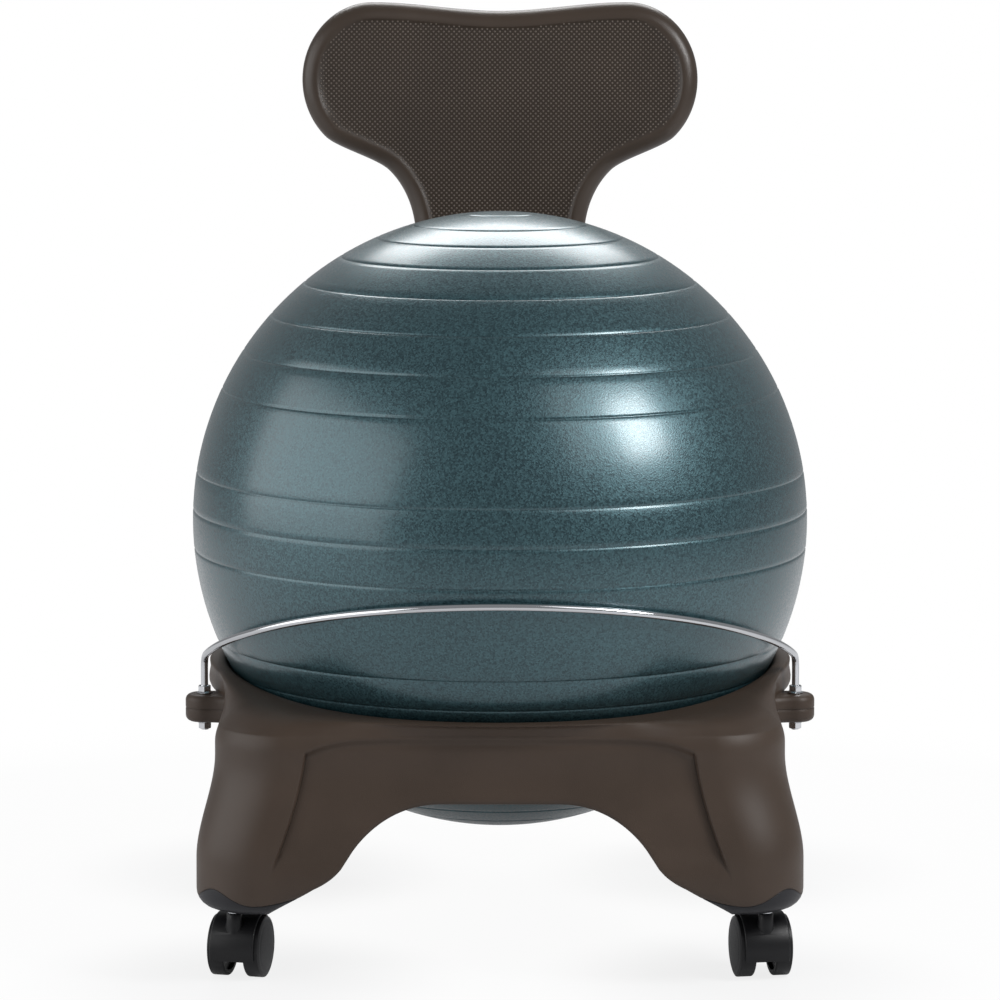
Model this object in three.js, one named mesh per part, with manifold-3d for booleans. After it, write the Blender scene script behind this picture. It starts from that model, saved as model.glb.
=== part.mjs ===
// Balance ball chair: an inflated ball held in the cup of a blow-moulded base on four twin-wheel casters,
// with a T-shaped back support plugged into the rear and a chromed retaining bar round the front.
// Millimetres, +Z up, the front faces -Y.
// The origin is on the floor under the middle of the whole chair.
import * as THREE from 'three';
import { mergeVertices } from 'three/addons/utils/BufferGeometryUtils.js';
import Module from 'manifold-3d';

const wasm = await Module();
wasm.setup();

// Fits shared by all pieces
const fitGap = 0.3;             // clearance between faces that seat on each other
const overrun = 5;              // how far a cutter passes the face it opens
const turnedSides = 12;         // facets round small turned pieces

// Ball
const ballDiameter = 520;
const ballClearance = 91;       // underside of the ball above the floor
const ballWall = 3;
const ringHeight = 1.1;         // moulded grip rings stand proud by this
const ringWidth = 5;
const ringLatitudes = [
  83.6, 73.6, 66.5, 59, 50.7, 42.1, 33.6, 25.5, 9.3, 2.4, -4.9,
  -22.5, -28.8, -37.3, -45.9, -54.2, -61.7, -68.8, -78.7,
];
const ballSides = 30;
const valveHoleDiameter = 12;
const plugHeadDiameter = 19;
const plugHeadHeight = 1.8;
const plugLength = 17;

// Base
const footInset = 13;           // widths of the base are set in from the widest part of the ball
const waistInset = 27.5;
const flareBottom = 101;        // where the S-shaped flare of the legs begins
const flareDrop = 22;           // from the top of the apron down to the top of the flare
const footEdgeRadius = 15;      // rounding under the outer edge of a foot
const cornerReachFoot = 48;     // how far the corner rounding reaches along a face, at the foot
const cornerReachTop = 60;
const apronDrop = 13;           // from the front lip down to the top edge of the sunk face
const apronDepth = 5;
const creaseInsetTop = 90;      // crease between sunk face and leg, in from the outer face of the foot
const creaseInsetBottom = 60;
const creaseBottom = 94;        // the crease fades out above the foot cap
const creasePower = 1.6;        // the crease runs nearly straight down and turns outward near the foot
const creaseWidth = 4;
const rimDropFront = 134;       // where the lip of the cup meets the ball, below the ball's centre
const rimDropSide = 117;
const rimDropRear = 109;
const rimInset = 14;            // outer edge of the lip
const lipWidth = 6;             // crest of the lip, out from the ball
const lipSwell = 6.7;           // the lip bulges past its crest by this at the sides
const wellInset = 72;           // open well under the cup
const archHeight = 150.2;
const archFlatInset = 197;      // widths of the arch are set in from the outer face of the foot
const archKneeInset = 123;
const archKneeHeight = 105.2;
const archToeInset = 97;
const archToeRise = 22.3;       // above the foot's underside
const archFootInset = 60;

// Foot caps
const capPeakRise = 20.3;       // parting line above the foot's underside, on the leg's diagonal
const capDipRise = 8.7;         // lowest point of the parting line
const capDipOffset = 34;        // distance of the dip from the diagonal
const capEndRise = 22.3;
const capEndOffset = 80;

// Ears for the retaining bar
const earReach = 1;             // centre of the ear, out from the outer face of the foot
const earOffsetY = -60;
const earRadius = 16;
const earLift = 7;              // top of the ear above the top of the apron
const earThickness = 23;
const earEdge = 5;
const earRoot = 22;             // how far the ear reaches back into the wall from its hole

// Retaining bar and its nuts
const barDiameter = 6;
const barRise = 31;             // axis of the bend above the top of each ear
const barDrop = 34;             // axis of the bar's front below the ball's centre
const barClearance = 4.23;      // between the front of the bar and the ball
const barBendRadius = 10;
const nutWidth = 10;            // across flats
const nutHeight = 5;
const nutFlangeDiameter = 13.4;
const nutFlangeHeight = 1.4;
const barEndReach = 1;          // thread left showing below the lower nut

// Back support
const backGap = 6;              // space between the ball and the back support
const backThickness = 29;
const backHeight = 778;         // top of the lobes above the floor
const lobeHalfWidth = 63;
const lobeHalfHeight = 69;
const lobeOffset = 114.5;       // centre of a lobe from the middle
const neckHalfWidth = 76;
const neckCurveWidth = 60;      // the hollow curve between neck and lobe
const lobeJoin = 15;            // the two curves run into each other over this height, up and down
const slopeStep = 0.01;         // run over which the slope of a curve is read
const lobeOverlap = 3;          // the hollow curve meets the lobe this far above its lowest point
const neckHeight = 566;         // where the hollow curve begins
const backTopDip = 8;
const backWrap = 12;            // how far the tips of the lobes come forward
const backLean = 14;            // how far the top leans back
const backEdge = 14;            // rounding of the rolled border
const borderWidth = 13.5;
const panelStep = 3;
const panelDepth = 1.6;         // sunk panel inside the rolled border
const panelBottom = 486;
const stemDepth = 80;           // length of the stem inside the socket

// Rear socket housing
const socketWall = 9;
const housingCorner = 16;

// Fasteners of the back support
const screwOffset = 42;
const screwDrop = 44;           // below the rear lip
const screwDiameter = 8;
const screwReach = 30;          // shank length under the washer
const screwHeadDiameter = 14;
const screwHeadHeight = 5.5;
const washerDiameter = 20;
const washerThickness = 1.6;

// Casters
const casterInsetX = 31;        // swivel axes, in from the outer faces of the foot
const casterInsetY = 42;
const casterTrail = 17;         // axle behind the swivel axis
const wheelDiameter = 50;
const wheelSides = 16;
const casterWidth = 46;
const wheelInner = 8.4;         // inner face of a wheel from the caster's middle
const treadWidth = 12.4;
const treadEdge = 1.5;
const axleDiameter = 6;
const axleLength = 38;
const hoodGap = 1.2;
const hoodWall = 1.7;
const hoodHalfWidth = 18.6;
const webHalfWidth = 7;
const hoodBottom = 17;          // lower edge of the hood above the floor
const hoodRearAngle = 22;       // the hood ends this far above the rear of the axle
const neckDiameter = 15;
const neckTop = 56;
const neckClearance = 3.9;      // between the neck and the bush above it
const stemDiameter = 11;
const stemLength = 38;
const stemGrooveDepth = 1;
const spigotDiameter = 8;
const spigotLength = 16;
const bushDiameter = 16;
const bushLength = 42;
const bushFlangeDiameter = 20;
const bushFlangeHeight = 0.8;
const casterCorners = [
  ['front_left', -1, -1, -14], ['front_right', 1, -1, 10], ['rear_left', -1, 1, -6], ['rear_right', 1, 1, 8],
];

// Brake levers of the rear casters
const leverPinDiameter = 3;
const leverPinLength = 12;
const leverPinAngle = 40;       // place of the pin, up from the rear of the axle
const leverPinRadius = 19.5;
const leverHubRadius = 3.4;
const leverArmHalfWidth = 3;
const pedalHalfWidth = 8;
const pedalStart = 12;          // distances from the pin
const pedalEnd = 25;
const leverThrow = 18;          // degrees the pedal is pressed down
const pedalRise = 2.5;
const pedalThickness = 3;

const leftRight = [['left', -1], ['right', 1]];

// Derived sizes
const ballRadius = ballDiameter / 2;
const ballHeight = ballClearance + ballRadius;
const wheelRadius = wheelDiameter / 2;
const footHeight = neckTop + neckClearance + bushFlangeHeight + fitGap;
const capPeak = footHeight + capPeakRise;
const capDip = footHeight + capDipRise;
const capEnd = footHeight + capEndRise;
const rimHeightFront = ballHeight - rimDropFront;
const rimHeightSide = ballHeight - rimDropSide;
const rimHeightRear = ballHeight - rimDropRear;
const rimRadius = ballRadius - rimInset;
const wellRadius = ballRadius - wellInset;
const footHalfWidth = ballRadius - footInset;
const waistHalfWidth = ballRadius - waistInset;
const apronTop = rimHeightFront - apronDrop;
const flareTop = apronTop - flareDrop;
const archFlatHalfWidth = footHalfWidth - archFlatInset;
const archKneeHalfWidth = footHalfWidth - archKneeInset;
const archToeHalfWidth = footHalfWidth - archToeInset;
const archToeHeight = footHeight + archToeRise;
const archFootHalfWidth = footHalfWidth - archFootInset;
const earOffsetX = footHalfWidth + earReach;
const earTop = apronTop + earLift;
const barHeightEnd = earTop + barRise;
const barHeightFront = ballHeight - barDrop;
const barFrontReach = Math.sqrt(ballRadius ** 2 - barDrop ** 2) + barClearance + barDiameter / 2;
const neckCurveHeight = backHeight - 2 * lobeHalfHeight + lobeOverlap - neckHeight;
const screwHeight = rimHeightRear - screwDrop;
const casterOffsetX = footHalfWidth - casterInsetX;
const casterOffsetY = footHalfWidth - casterInsetY;
const cupRadius = ballRadius + ringHeight + fitGap;
const backFront = ballRadius + backGap;
const backMiddle = backFront + backThickness / 2;
const stemBottom = rimHeightRear - stemDepth;
const housingBack = backFront + backThickness + fitGap + socketWall;
const rearReach = housingBack + fitGap + washerThickness + fitGap + screwHeadHeight;
const frontReach = barFrontReach + barDiameter / 2;
const axisShift = (frontReach - rearReach) / 2;   // puts the middle of the chair's depth on the origin
const hoodOuter = wheelRadius + hoodGap + hoodWall;
const flangeBottom = footHeight - fitGap - bushFlangeHeight;

const brown = [0.085, 0.066, 0.053];
const charcoal = [0.035, 0.035, 0.04];
const black = [0.02, 0.02, 0.021];
const teal = [0.075, 0.16, 0.18];
const chrome = [0.75, 0.76, 0.78];
const steel = [0.5, 0.5, 0.51];

const chair = new THREE.Group();
chair.position.y = axisShift;

function addPiece(parent, name, geometry, rgb, roughness, metalness = 0) {
  const color = new THREE.Color(...rgb);
  const mesh = new THREE.Mesh(geometry, new THREE.MeshStandardMaterial({ color, roughness, metalness }));
  mesh.name = name;
  parent.add(mesh);
}

// Solids for joining and cutting
function toSolid(geometry) {
  const bare = geometry.clone();
  bare.deleteAttribute('normal');
  bare.deleteAttribute('uv');
  const merged = mergeVertices(bare, 1e-4);
  return new wasm.Manifold(new wasm.Mesh({
    numProp: 3,
    vertProperties: new Float32Array(merged.attributes.position.array),
    triVerts: new Uint32Array(merged.index.array),
  }));
}

function toGeometry(solid) {
  const mesh = solid.getMesh();
  const geometry = new THREE.BufferGeometry();
  geometry.setAttribute('position', new THREE.BufferAttribute(new Float32Array(mesh.vertProperties), 3));
  geometry.setIndex(new THREE.BufferAttribute(new Uint32Array(mesh.triVerts), 1));
  return geometry;
}

// A closed surface through rings of equal length, the last joined to the first
function loopSkin(rings) {
  const count = rings[0].length;
  const index = [];
  rings.forEach((ring, i) => {
    const a = i * count;
    const b = ((i + 1) % rings.length) * count;
    for (let j = 0; j < count; j += 1) {
      const k = (j + 1) % count;
      index.push(a + j, a + k, b + k, a + j, b + k, b + j);
    }
  });
  const geometry = new THREE.BufferGeometry();
  const positions = rings.flat().flatMap((p) => [p.x, p.y, p.z]);
  geometry.setAttribute('position', new THREE.Float32BufferAttribute(positions, 3));
  geometry.setIndex(index);
  return geometry;
}

// A revolved solid about Z from [radius, height] pairs
const revolve = (profile, sides) =>
  new THREE.LatheGeometry(profile.map(([r, z]) => new THREE.Vector2(r, z)), sides).rotateX(Math.PI / 2);

const rod = (diameter, bottom, top, sides = turnedSides) =>
  new THREE.CylinderGeometry(diameter / 2, diameter / 2, top - bottom, sides)
    .rotateX(Math.PI / 2)
    .translate(0, 0, (bottom + top) / 2);

const extrude = (shape, depth, options = {}) =>
  new THREE.ExtrudeGeometry(shape, { depth, bevelEnabled: false, curveSegments: 6, ...options });

const smooth = (t) => t * t * (3 - 2 * t);
const clamp01 = (t) => Math.min(1, Math.max(0, t));
const mix = (a, b, t) => a + (b - a) * t;
const radians = (degrees) => degrees * Math.PI / 180;

// Base: the outer wall is a rounded square with sunk faces, and the top is a lip that follows the ball

function wallHalfWidth(z) {
  return mix(footHalfWidth, waistHalfWidth, smooth(clamp01((z - flareBottom) / (flareTop - flareBottom))));
}

function creaseHalfWidth(z) {
  const down = clamp01((apronTop - z) / (apronTop - creaseBottom));
  return footHalfWidth - mix(creaseInsetTop, creaseInsetBottom, down ** creasePower);
}

function cornerReach(z) {
  return mix(cornerReachFoot, cornerReachTop, clamp01((z - footHeight) / (apronTop - footHeight)));
}

// Half of one face, from its middle to the diagonal, as [along the face, out from the axis]
function halfFace(z, inset, sunkShare) {
  const faceShares = [0, 0.5];
  const cornerTurns = 3;
  const cornerPower = 1.85;
  const outer = wallHalfWidth(z) - inset;
  const crease = creaseHalfWidth(z);
  const reach = cornerReach(z);
  const start = wallHalfWidth(z) - reach;
  const depth = apronDepth * sunkShare;
  const points = faceShares.map((share) => [crease * share, outer - depth]);
  points.push([crease - creaseWidth, outer - depth], [crease, outer]);
  for (let i = 0; i <= cornerTurns; i += 1) {
    const angle = (Math.PI / 4) * (i / cornerTurns);
    const along = Math.sin(angle) ** (2 / cornerPower);
    const out = Math.cos(angle) ** (2 / cornerPower);
    points.push([start + (reach - inset) * along, start + (reach - inset) * out]);
  }
  return points;
}

// The whole section, counter-clockwise seen from above
function section(z, inset, sunkShare) {
  const half = halfFace(z, inset, sunkShare);
  const mirrored = half.slice(1, -1).reverse().map(([u, v]) => [v, u]);
  const quarter = [...half, ...mirrored];
  const ring = [];
  for (let side = 0; side < 4; side += 1) {
    const turn = side * Math.PI / 2;
    for (const [u, v] of quarter) {
      const x = v * Math.cos(turn) - u * Math.sin(turn);
      const y = v * Math.sin(turn) + u * Math.cos(turn);
      ring.push(new THREE.Vector3(x, y, z));
    }
  }
  return ring;
}

// Height of the lip round the ball: low at the front, higher at the sides and the rear
function rimHeight(point) {
  const back = point.y / Math.hypot(point.x, point.y);
  return back < 0
    ? mix(rimHeightFront, rimHeightSide, smooth(1 + back))
    : mix(rimHeightSide, rimHeightRear, smooth(back));
}

const ballReach = (z, radius) => Math.sqrt(radius ** 2 - (ballHeight - z) ** 2);

// A ring drawn from a section towards a circle, at its own height in each direction
function drawIn(ring, roundShare, radiusAt, heightAt) {
  return ring.map((point) => {
    const flat = Math.hypot(point.x, point.y);
    const z = heightAt(point);
    const r = mix(flat, radiusAt(z), roundShare);
    return new THREE.Vector3(point.x / flat * r, point.y / flat * r, z);
  });
}

function baseShell() {
  const footTurns = 3;
  const wallShares = [0, 0.07, 0.2, 0.34, 0.48, 0.62, 0.76, 0.9, 1];
  const sinkShare = 0.25;       // of the apron's height over which it sinks to its full depth
  const crestShares = [[0.1, 0.8], [0.36, 0.3], [0.7, 0.05]];
  const rings = [];
  for (let i = 0; i <= footTurns; i += 1) {
    const angle = (Math.PI / 2) * (i / footTurns);
    const rise = footEdgeRadius * (1 - Math.cos(angle));
    rings.push(section(footHeight + rise, footEdgeRadius * (1 - Math.sin(angle)), 0));
  }
  for (const share of wallShares) {
    const z = mix(creaseBottom - creaseWidth, apronTop, share);
    rings.push(section(z, 0, smooth(clamp01(share / sinkShare))));
  }
  const lipBottom = apronTop + creaseWidth / 2;
  const lip = section(lipBottom, 0, sinkShare);
  const crest = drawIn(lip, 1, (z) => ballReach(z, cupRadius) + lipWidth, rimHeight);
  rings.push(lip);
  for (const [roundShare, dropShare] of crestShares) {
    const drawn = drawIn(lip, roundShare, () => rimRadius, (p) => mix(rimHeight(p), lipBottom, dropShare));
    rings.push(drawn.map((point, i) => {
      const flat = Math.hypot(point.x, point.y);
      const sideShare = 1 - Math.abs(point.y) / flat;
      const least = Math.hypot(crest[i].x, crest[i].y) + lipSwell * sideShare;
      const swell = Math.max(1, least / flat);
      return new THREE.Vector3(point.x * swell, point.y * swell, point.z);
    }));
  }
  rings.push(crest);
  rings.push(drawIn(lip, 1, (z) => ballReach(z, cupRadius) - lipWidth, (p) => rimHeight(p) - fitGap));
  rings.push(drawIn(lip, 1, () => wellRadius, () => rimHeightFront - lipWidth));
  rings.push(drawIn(lip, 1, () => wellRadius, () => footHeight));
  return toSolid(loopSkin(rings));
}

// The faceted ball without its rings, for cutting the cup
function ballCutter() {
  const turns = 24;
  const profile = [];
  for (let i = 0; i <= turns; i += 1) {
    const latitude = Math.PI * (i / turns - 0.5);
    profile.push([cupRadius * Math.cos(latitude), cupRadius * Math.sin(latitude)]);
  }
  profile[0][0] = 0;
  profile[turns][0] = 0;
  return toSolid(revolve(profile, ballSides).translate(0, 0, ballHeight));
}

// Right half of the arch, from the foot up to the flat of the crown
function archHalf() {
  const toeShares = [[0.42, 0.22], [0.8, 0.57]];
  const kneeShares = [[0.14, 0.4], [0.46, 0.98]];
  const curveTurns = 5;
  const foot = new THREE.Vector2(archFootHalfWidth, footHeight);
  const toe = new THREE.Vector2(archToeHalfWidth, archToeHeight);
  const knee = new THREE.Vector2(archKneeHalfWidth, archKneeHeight);
  const crown = new THREE.Vector2(archFlatHalfWidth, archHeight);
  const bend = (from, to, shares) => {
    const [first, second] = shares.map(([shareX, shareY]) =>
      new THREE.Vector2(mix(from.x, to.x, shareX), mix(from.y, to.y, shareY)));
    return new THREE.CubicBezierCurve(from, first, second, to).getPoints(curveTurns);
  };
  return [foot, ...bend(toe, knee, toeShares), ...bend(knee, crown, kneeShares).slice(1)];
}

function archTunnel() {
  const half = archHalf();
  const below = footHeight - overrun;
  const slope = (archToeHalfWidth - archFootHalfWidth) / (archToeHeight - footHeight);
  const footBelow = new THREE.Vector2(archFootHalfWidth - overrun * slope, below);
  const right = [footBelow, ...half.slice(1)];
  const left = right.map((p) => new THREE.Vector2(-p.x, p.y)).reverse();
  const reach = rearReach + overrun;
  return extrude(new THREE.Shape([...right, ...left]), 2 * reach).rotateX(Math.PI / 2).translate(0, reach, 0);
}

// Height of the line where a foot cap parts from its leg, at a distance from the leg's diagonal
function capLine(offset) {
  const away = Math.abs(offset);
  return away < capDipOffset
    ? mix(capPeak, capDip, smooth(away / capDipOffset))
    : mix(capDip, capEnd, smooth((away - capDipOffset) / (capEndOffset - capDipOffset)));
}

// Everything under the parting line of the front right foot
function capCutter(lift) {
  const turns = 12;
  const line = [];
  for (let i = 0; i <= turns; i += 1) {
    const offset = mix(-capEndOffset, capEndOffset, i / turns);
    line.push(new THREE.Vector2(offset, capLine(offset) + lift));
  }
  const below = footHeight - overrun;
  const bottom = [new THREE.Vector2(capEndOffset, below), new THREE.Vector2(-capEndOffset, below)];
  const inner = archKneeHalfWidth * Math.SQRT2;
  const outer = (footHalfWidth + overrun) * Math.SQRT2;
  return toSolid(extrude(new THREE.Shape([...line, ...bottom]), outer - inner)
    .rotateX(Math.PI / 2).translate(0, -inner, 0).rotateZ(Math.PI / 4));
}

function earSolid(side) {
  const plan = new THREE.Shape();
  const radius = earRadius;
  plan.absarc(0, 0, radius, -Math.PI / 2, Math.PI / 2, false);
  plan.lineTo(-earRoot, radius);
  plan.lineTo(-earRoot, -radius);
  const geometry = extrude(plan, earThickness - 2 * earEdge, {
    bevelEnabled: true, bevelThickness: earEdge, bevelSize: earEdge, bevelOffset: -earEdge, bevelSegments: 2,
  });
  geometry.translate(0, 0, earTop - earThickness + earEdge);
  if (side < 0) geometry.rotateZ(Math.PI);
  return toSolid(geometry.translate(side * earOffsetX, earOffsetY, 0));
}

// Plan of the socket housing: its front edge is an arc inside the lip
function housingSolid() {
  const half = neckHalfWidth + fitGap + socketWall;
  const arc = rimRadius - lipWidth;
  const start = Math.acos(half / arc);
  const plan = new THREE.Shape();
  plan.absarc(0, 0, arc, Math.PI - start, start, true);
  plan.lineTo(half, housingBack - housingCorner);
  plan.absarc(half - housingCorner, housingBack - housingCorner, housingCorner, 0, Math.PI / 2, false);
  plan.absarc(housingCorner - half, housingBack - housingCorner, housingCorner, Math.PI / 2, Math.PI, false);
  const bottom = stemBottom - socketWall;
  return toSolid(extrude(plan, rimHeightRear - bottom).translate(0, 0, bottom));
}

// Back support

const hollowLine = (z) => neckHalfWidth
  + neckCurveWidth * (1 - Math.sqrt(1 - clamp01((z - neckHeight) / neckCurveHeight) ** 2));
const lobeLine = (z) => lobeOffset
  + lobeHalfWidth * Math.sqrt(Math.max(0, 1 - ((z - backHeight + lobeHalfHeight) / lobeHalfHeight) ** 2));
const slopeOf = (line, z) => (line(z + slopeStep) - line(z - slopeStep)) / (2 * slopeStep);

// Half the width at a height: neck and lobe run into each other along a cubic between two heights
function backHalfWidth(z) {
  const low = neckHeight + neckCurveHeight - lobeJoin;
  const high = low + 2 * lobeJoin;
  if (z <= low) return hollowLine(z);
  if (z >= high) return lobeLine(z);
  const share = (z - low) / (high - low);
  const bend = (1 - share) * slopeOf(hollowLine, low) - share * slopeOf(lobeLine, high);
  return mix(hollowLine(low), lobeLine(high), smooth(share)) + (high - low) * share * (1 - share) * bend;
}

// How far the top edge dips between the lobes
function dipAt(x, z) {
  const lobeMiddle = backHeight - lobeHalfHeight;
  const up = clamp01((z - lobeMiddle) / lobeHalfHeight);
  return backTopDip * up ** 2 * (1 - smooth(clamp01(Math.abs(x) / lobeOffset)));
}

// Right half of the outline, from the bottom of the stem to the middle of the top
function backOutline() {
  const steps = 90;
  const outline = [];
  for (let i = 0; i <= steps; i += 1) {
    const z = mix(neckHeight, backHeight, Math.sin(Math.PI / 2 * i / steps));
    outline.push(new THREE.Vector2(backHalfWidth(z), z));
  }
  for (let i = 1; i <= steps; i += 1) {
    const x = lobeOffset * (1 - i / steps);
    outline.push(new THREE.Vector2(x, backHeight - dipAt(x, backHeight)));
  }
  return outline;
}

const backOutlineHalf = backOutline();
const backSides = backOutlineHalf.slice(1).map((p, i) => new THREE.Line3(
  new THREE.Vector3(backOutlineHalf[i].x, backOutlineHalf[i].y, 0), new THREE.Vector3(p.x, p.y, 0)));

// Distance in from the outline, on the front view
function edgeDistance(x, z) {
  if (z < neckHeight) return neckHalfWidth - Math.abs(x);
  const here = new THREE.Vector3(Math.abs(x), z, 0);
  const near = new THREE.Vector3();
  return Math.min(...backSides.map((side) => side.closestPointToPoint(here, true, near).distanceTo(here)));
}

// Depth of the middle surface: the lobes come forward and the top leans back
function backMiddleAt(x, z) {
  const lean = backLean * Math.max(0, (z - ballHeight) / (backHeight - ballHeight));
  return backMiddle + lean - backWrap * (x / (lobeOffset + lobeHalfWidth)) ** 2;
}

const rolled = (distance) => {
  const inShare = clamp01(distance / backEdge);
  return backThickness / 2 * Math.sqrt(1 - (1 - inShare) ** 2);
};

function backFaceDepth(x, z, facing, onEdge) {
  if (onEdge) return backMiddleAt(x, z);
  const distance = edgeDistance(x, z);
  const fade = clamp01((z - panelBottom) / borderWidth);
  const sunk = smooth(clamp01((distance - borderWidth) / panelStep)) * fade;
  const step = facing < 0 ? panelDepth * sunk : 0;
  return backMiddleAt(x, z) + facing * (rolled(distance) - step);
}

function backRows() {
  const stemShares = [0, 0.5, 0.8, 0.86, 1];
  const neckShares = [0.26, 0.52, 0.71, 0.85, 0.94, 0.985];
  const lobeShares = [0.01, 0.035, 0.075, 0.13, 0.22, 0.35, 0.5, 0.64, 0.76];
  const borderShares = [1.15, 1, 0.78, 0.5, 0.25, 0.07, 0];
  const curveTop = neckHeight + neckCurveHeight;
  return [
    ...stemShares.map((share) => mix(stemBottom, neckHeight, share)),
    ...neckShares.map((share) => neckHeight + neckCurveHeight * share),
    ...lobeShares.map((share) => mix(curveTop, backHeight, share)),
    ...borderShares.map((share) => backHeight - borderWidth * share),
  ];
}

function backColumns(z, isTop) {
  const innerShares = [0, 0.4, 0.75, 1];
  const borderShares = [1.17, 1, 0.78, 0.5, 0.25, 0.07, 0];
  const half = isTop ? lobeOffset : backHalfWidth(z);
  const inner = half - borderWidth * borderShares[0];
  const right = [
    ...innerShares.slice(0, -1).map((share) => inner * share),
    ...borderShares.map((share) => half - borderWidth * share),
  ];
  return [...right.slice(1).map((x) => -x).reverse(), ...right];
}

// Front and back faces meet along the outline, and a strip closes the end of the stem
function backSolid() {
  const rows = backRows();
  const columns = rows.map((z, i) => backColumns(z, i === rows.length - 1));
  const count = columns[0].length;
  const positions = [];
  const index = [];
  const at = (face, i, j) => (face * rows.length + i) * count + j;
  [-1, 1].forEach((facing) => {
    rows.forEach((z, i) => {
      columns[i].forEach((x, j) => {
        const onEdge = j === 0 || j === count - 1 || i === rows.length - 1;
        positions.push(x, backFaceDepth(x, z, facing, onEdge), z - dipAt(x, z));
      });
    });
  });
  for (let i = 0; i + 1 < rows.length; i += 1) {
    for (let j = 0; j + 1 < count; j += 1) {
      index.push(at(0, i, j), at(0, i, j + 1), at(0, i + 1, j + 1));
      index.push(at(0, i, j), at(0, i + 1, j + 1), at(0, i + 1, j));
      index.push(at(1, i, j), at(1, i + 1, j + 1), at(1, i, j + 1));
      index.push(at(1, i, j), at(1, i + 1, j), at(1, i + 1, j + 1));
    }
  }
  for (let j = 0; j + 1 < count; j += 1) {
    index.push(at(0, 0, j), at(1, 0, j), at(1, 0, j + 1), at(0, 0, j), at(1, 0, j + 1), at(0, 0, j + 1));
  }
  const geometry = new THREE.BufferGeometry();
  geometry.setAttribute('position', new THREE.Float32BufferAttribute(positions, 3));
  geometry.setIndex(index);
  return toSolid(geometry);
}

// Slot that takes the stem, grown by the fit all round
function stemSlot() {
  const front = [];
  const back = [];
  for (const x of backColumns(stemBottom, false)) {
    const grown = x * (1 + fitGap / neckHalfWidth);
    const half = rolled(neckHalfWidth - Math.abs(x)) + fitGap;
    front.push(new THREE.Vector2(grown, backMiddleAt(x, stemBottom) - half));
    back.push(new THREE.Vector2(grown, backMiddleAt(x, stemBottom) + half));
  }
  const plan = new THREE.Shape([...front, ...back.reverse()]);
  return toSolid(extrude(plan, stemDepth + fitGap + overrun).translate(0, 0, stemBottom - fitGap));
}

function screwBore(x) {
  const bore = rod(screwDiameter + 2 * fitGap, 0, screwReach + fitGap + overrun).rotateX(-Math.PI / 2);
  return toSolid(bore.translate(x, housingBack - screwReach - fitGap, screwHeight));
}

function addBackSupport() {
  const bores = leftRight.map(([, side]) => screwBore(side * screwOffset));
  const moulding = bores.reduce((solid, bore) => solid.subtract(bore), backSolid());
  addPiece(chair, 'back_support', toGeometry(moulding), brown, 0.55);
  const seat = housingBack + fitGap;
  for (const [name, side] of leftRight) {
    const washer = revolve([
      [screwDiameter / 2 + fitGap, 0], [washerDiameter / 2, 0],
      [washerDiameter / 2, washerThickness], [screwDiameter / 2 + fitGap, washerThickness],
      [screwDiameter / 2 + fitGap, 0],
    ], 16);
    const headBottom = washerThickness + fitGap;
    const headTop = headBottom + screwHeadHeight;
    const chamfer = screwHeadHeight / 4;
    const socket = screwHeadDiameter / 4;
    const screw = revolve([
      [0, -screwReach], [screwDiameter / 2 - chamfer, -screwReach], [screwDiameter / 2, chamfer - screwReach],
      [screwDiameter / 2, headBottom], [screwHeadDiameter / 2, headBottom],
      [screwHeadDiameter / 2, headTop - chamfer], [screwHeadDiameter / 2 - chamfer, headTop],
      [socket, headTop], [socket, headTop - screwHeadHeight / 2], [0, headTop - screwHeadHeight / 2],
    ], turnedSides);
    for (const piece of [washer, screw]) {
      piece.rotateX(-Math.PI / 2).translate(side * screwOffset, seat, screwHeight);
    }
    addPiece(chair, `back_washer_${name}`, washer, steel, 0.35, 1);
    addPiece(chair, `back_screw_${name}`, screw, steel, 0.35, 1);
  }
}

// Base assembly

const diagonalTurns = { front_right: 0, rear_right: 1, rear_left: 2, front_left: 3 };
const casterBore = (x, y) => toSolid(
  rod(bushDiameter + 2 * fitGap, footHeight - overrun, footHeight + bushLength, 16).translate(x, y, 0));
const turned = (solid, quarterTurns) => solid.rotate([0, 0, 90 * quarterTurns]);

function addBase() {
  const tunnel = archTunnel();
  const barHole = barDiameter / 2 + fitGap;
  let base = baseShell().add(housingSolid());
  for (const side of [-1, 1]) base = base.add(earSolid(side));
  base = base.subtract(ballCutter());
  base = base.subtract(toSolid(tunnel)).subtract(toSolid(tunnel.clone().rotateZ(Math.PI / 2)));
  base = base.subtract(stemSlot());
  for (const [, side] of leftRight) base = base.subtract(screwBore(side * screwOffset));
  for (const side of [-1, 1]) {
    const hole = rod(2 * barHole, earTop - earThickness - overrun, earTop + overrun);
    base = base.subtract(toSolid(hole.translate(side * earOffsetX, earOffsetY, 0)));
  }
  for (const [, sx, sy] of casterCorners) {
    base = base.subtract(casterBore(sx * casterOffsetX, sy * casterOffsetY));
  }
  let legs = base;
  for (const [corner] of casterCorners) {
    const quarter = diagonalTurns[corner];
    const cap = base.intersect(turned(capCutter(-fitGap / 2), quarter));
    addPiece(chair, `foot_cap_${corner}`, toGeometry(cap), charcoal, 0.5);
    legs = legs.subtract(turned(capCutter(fitGap / 2), quarter));
  }
  addPiece(chair, 'seat_base', toGeometry(legs), brown, 0.55);
}

// Ball: a hollow skin with moulded rings and a plugged valve hole at the bottom

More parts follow.
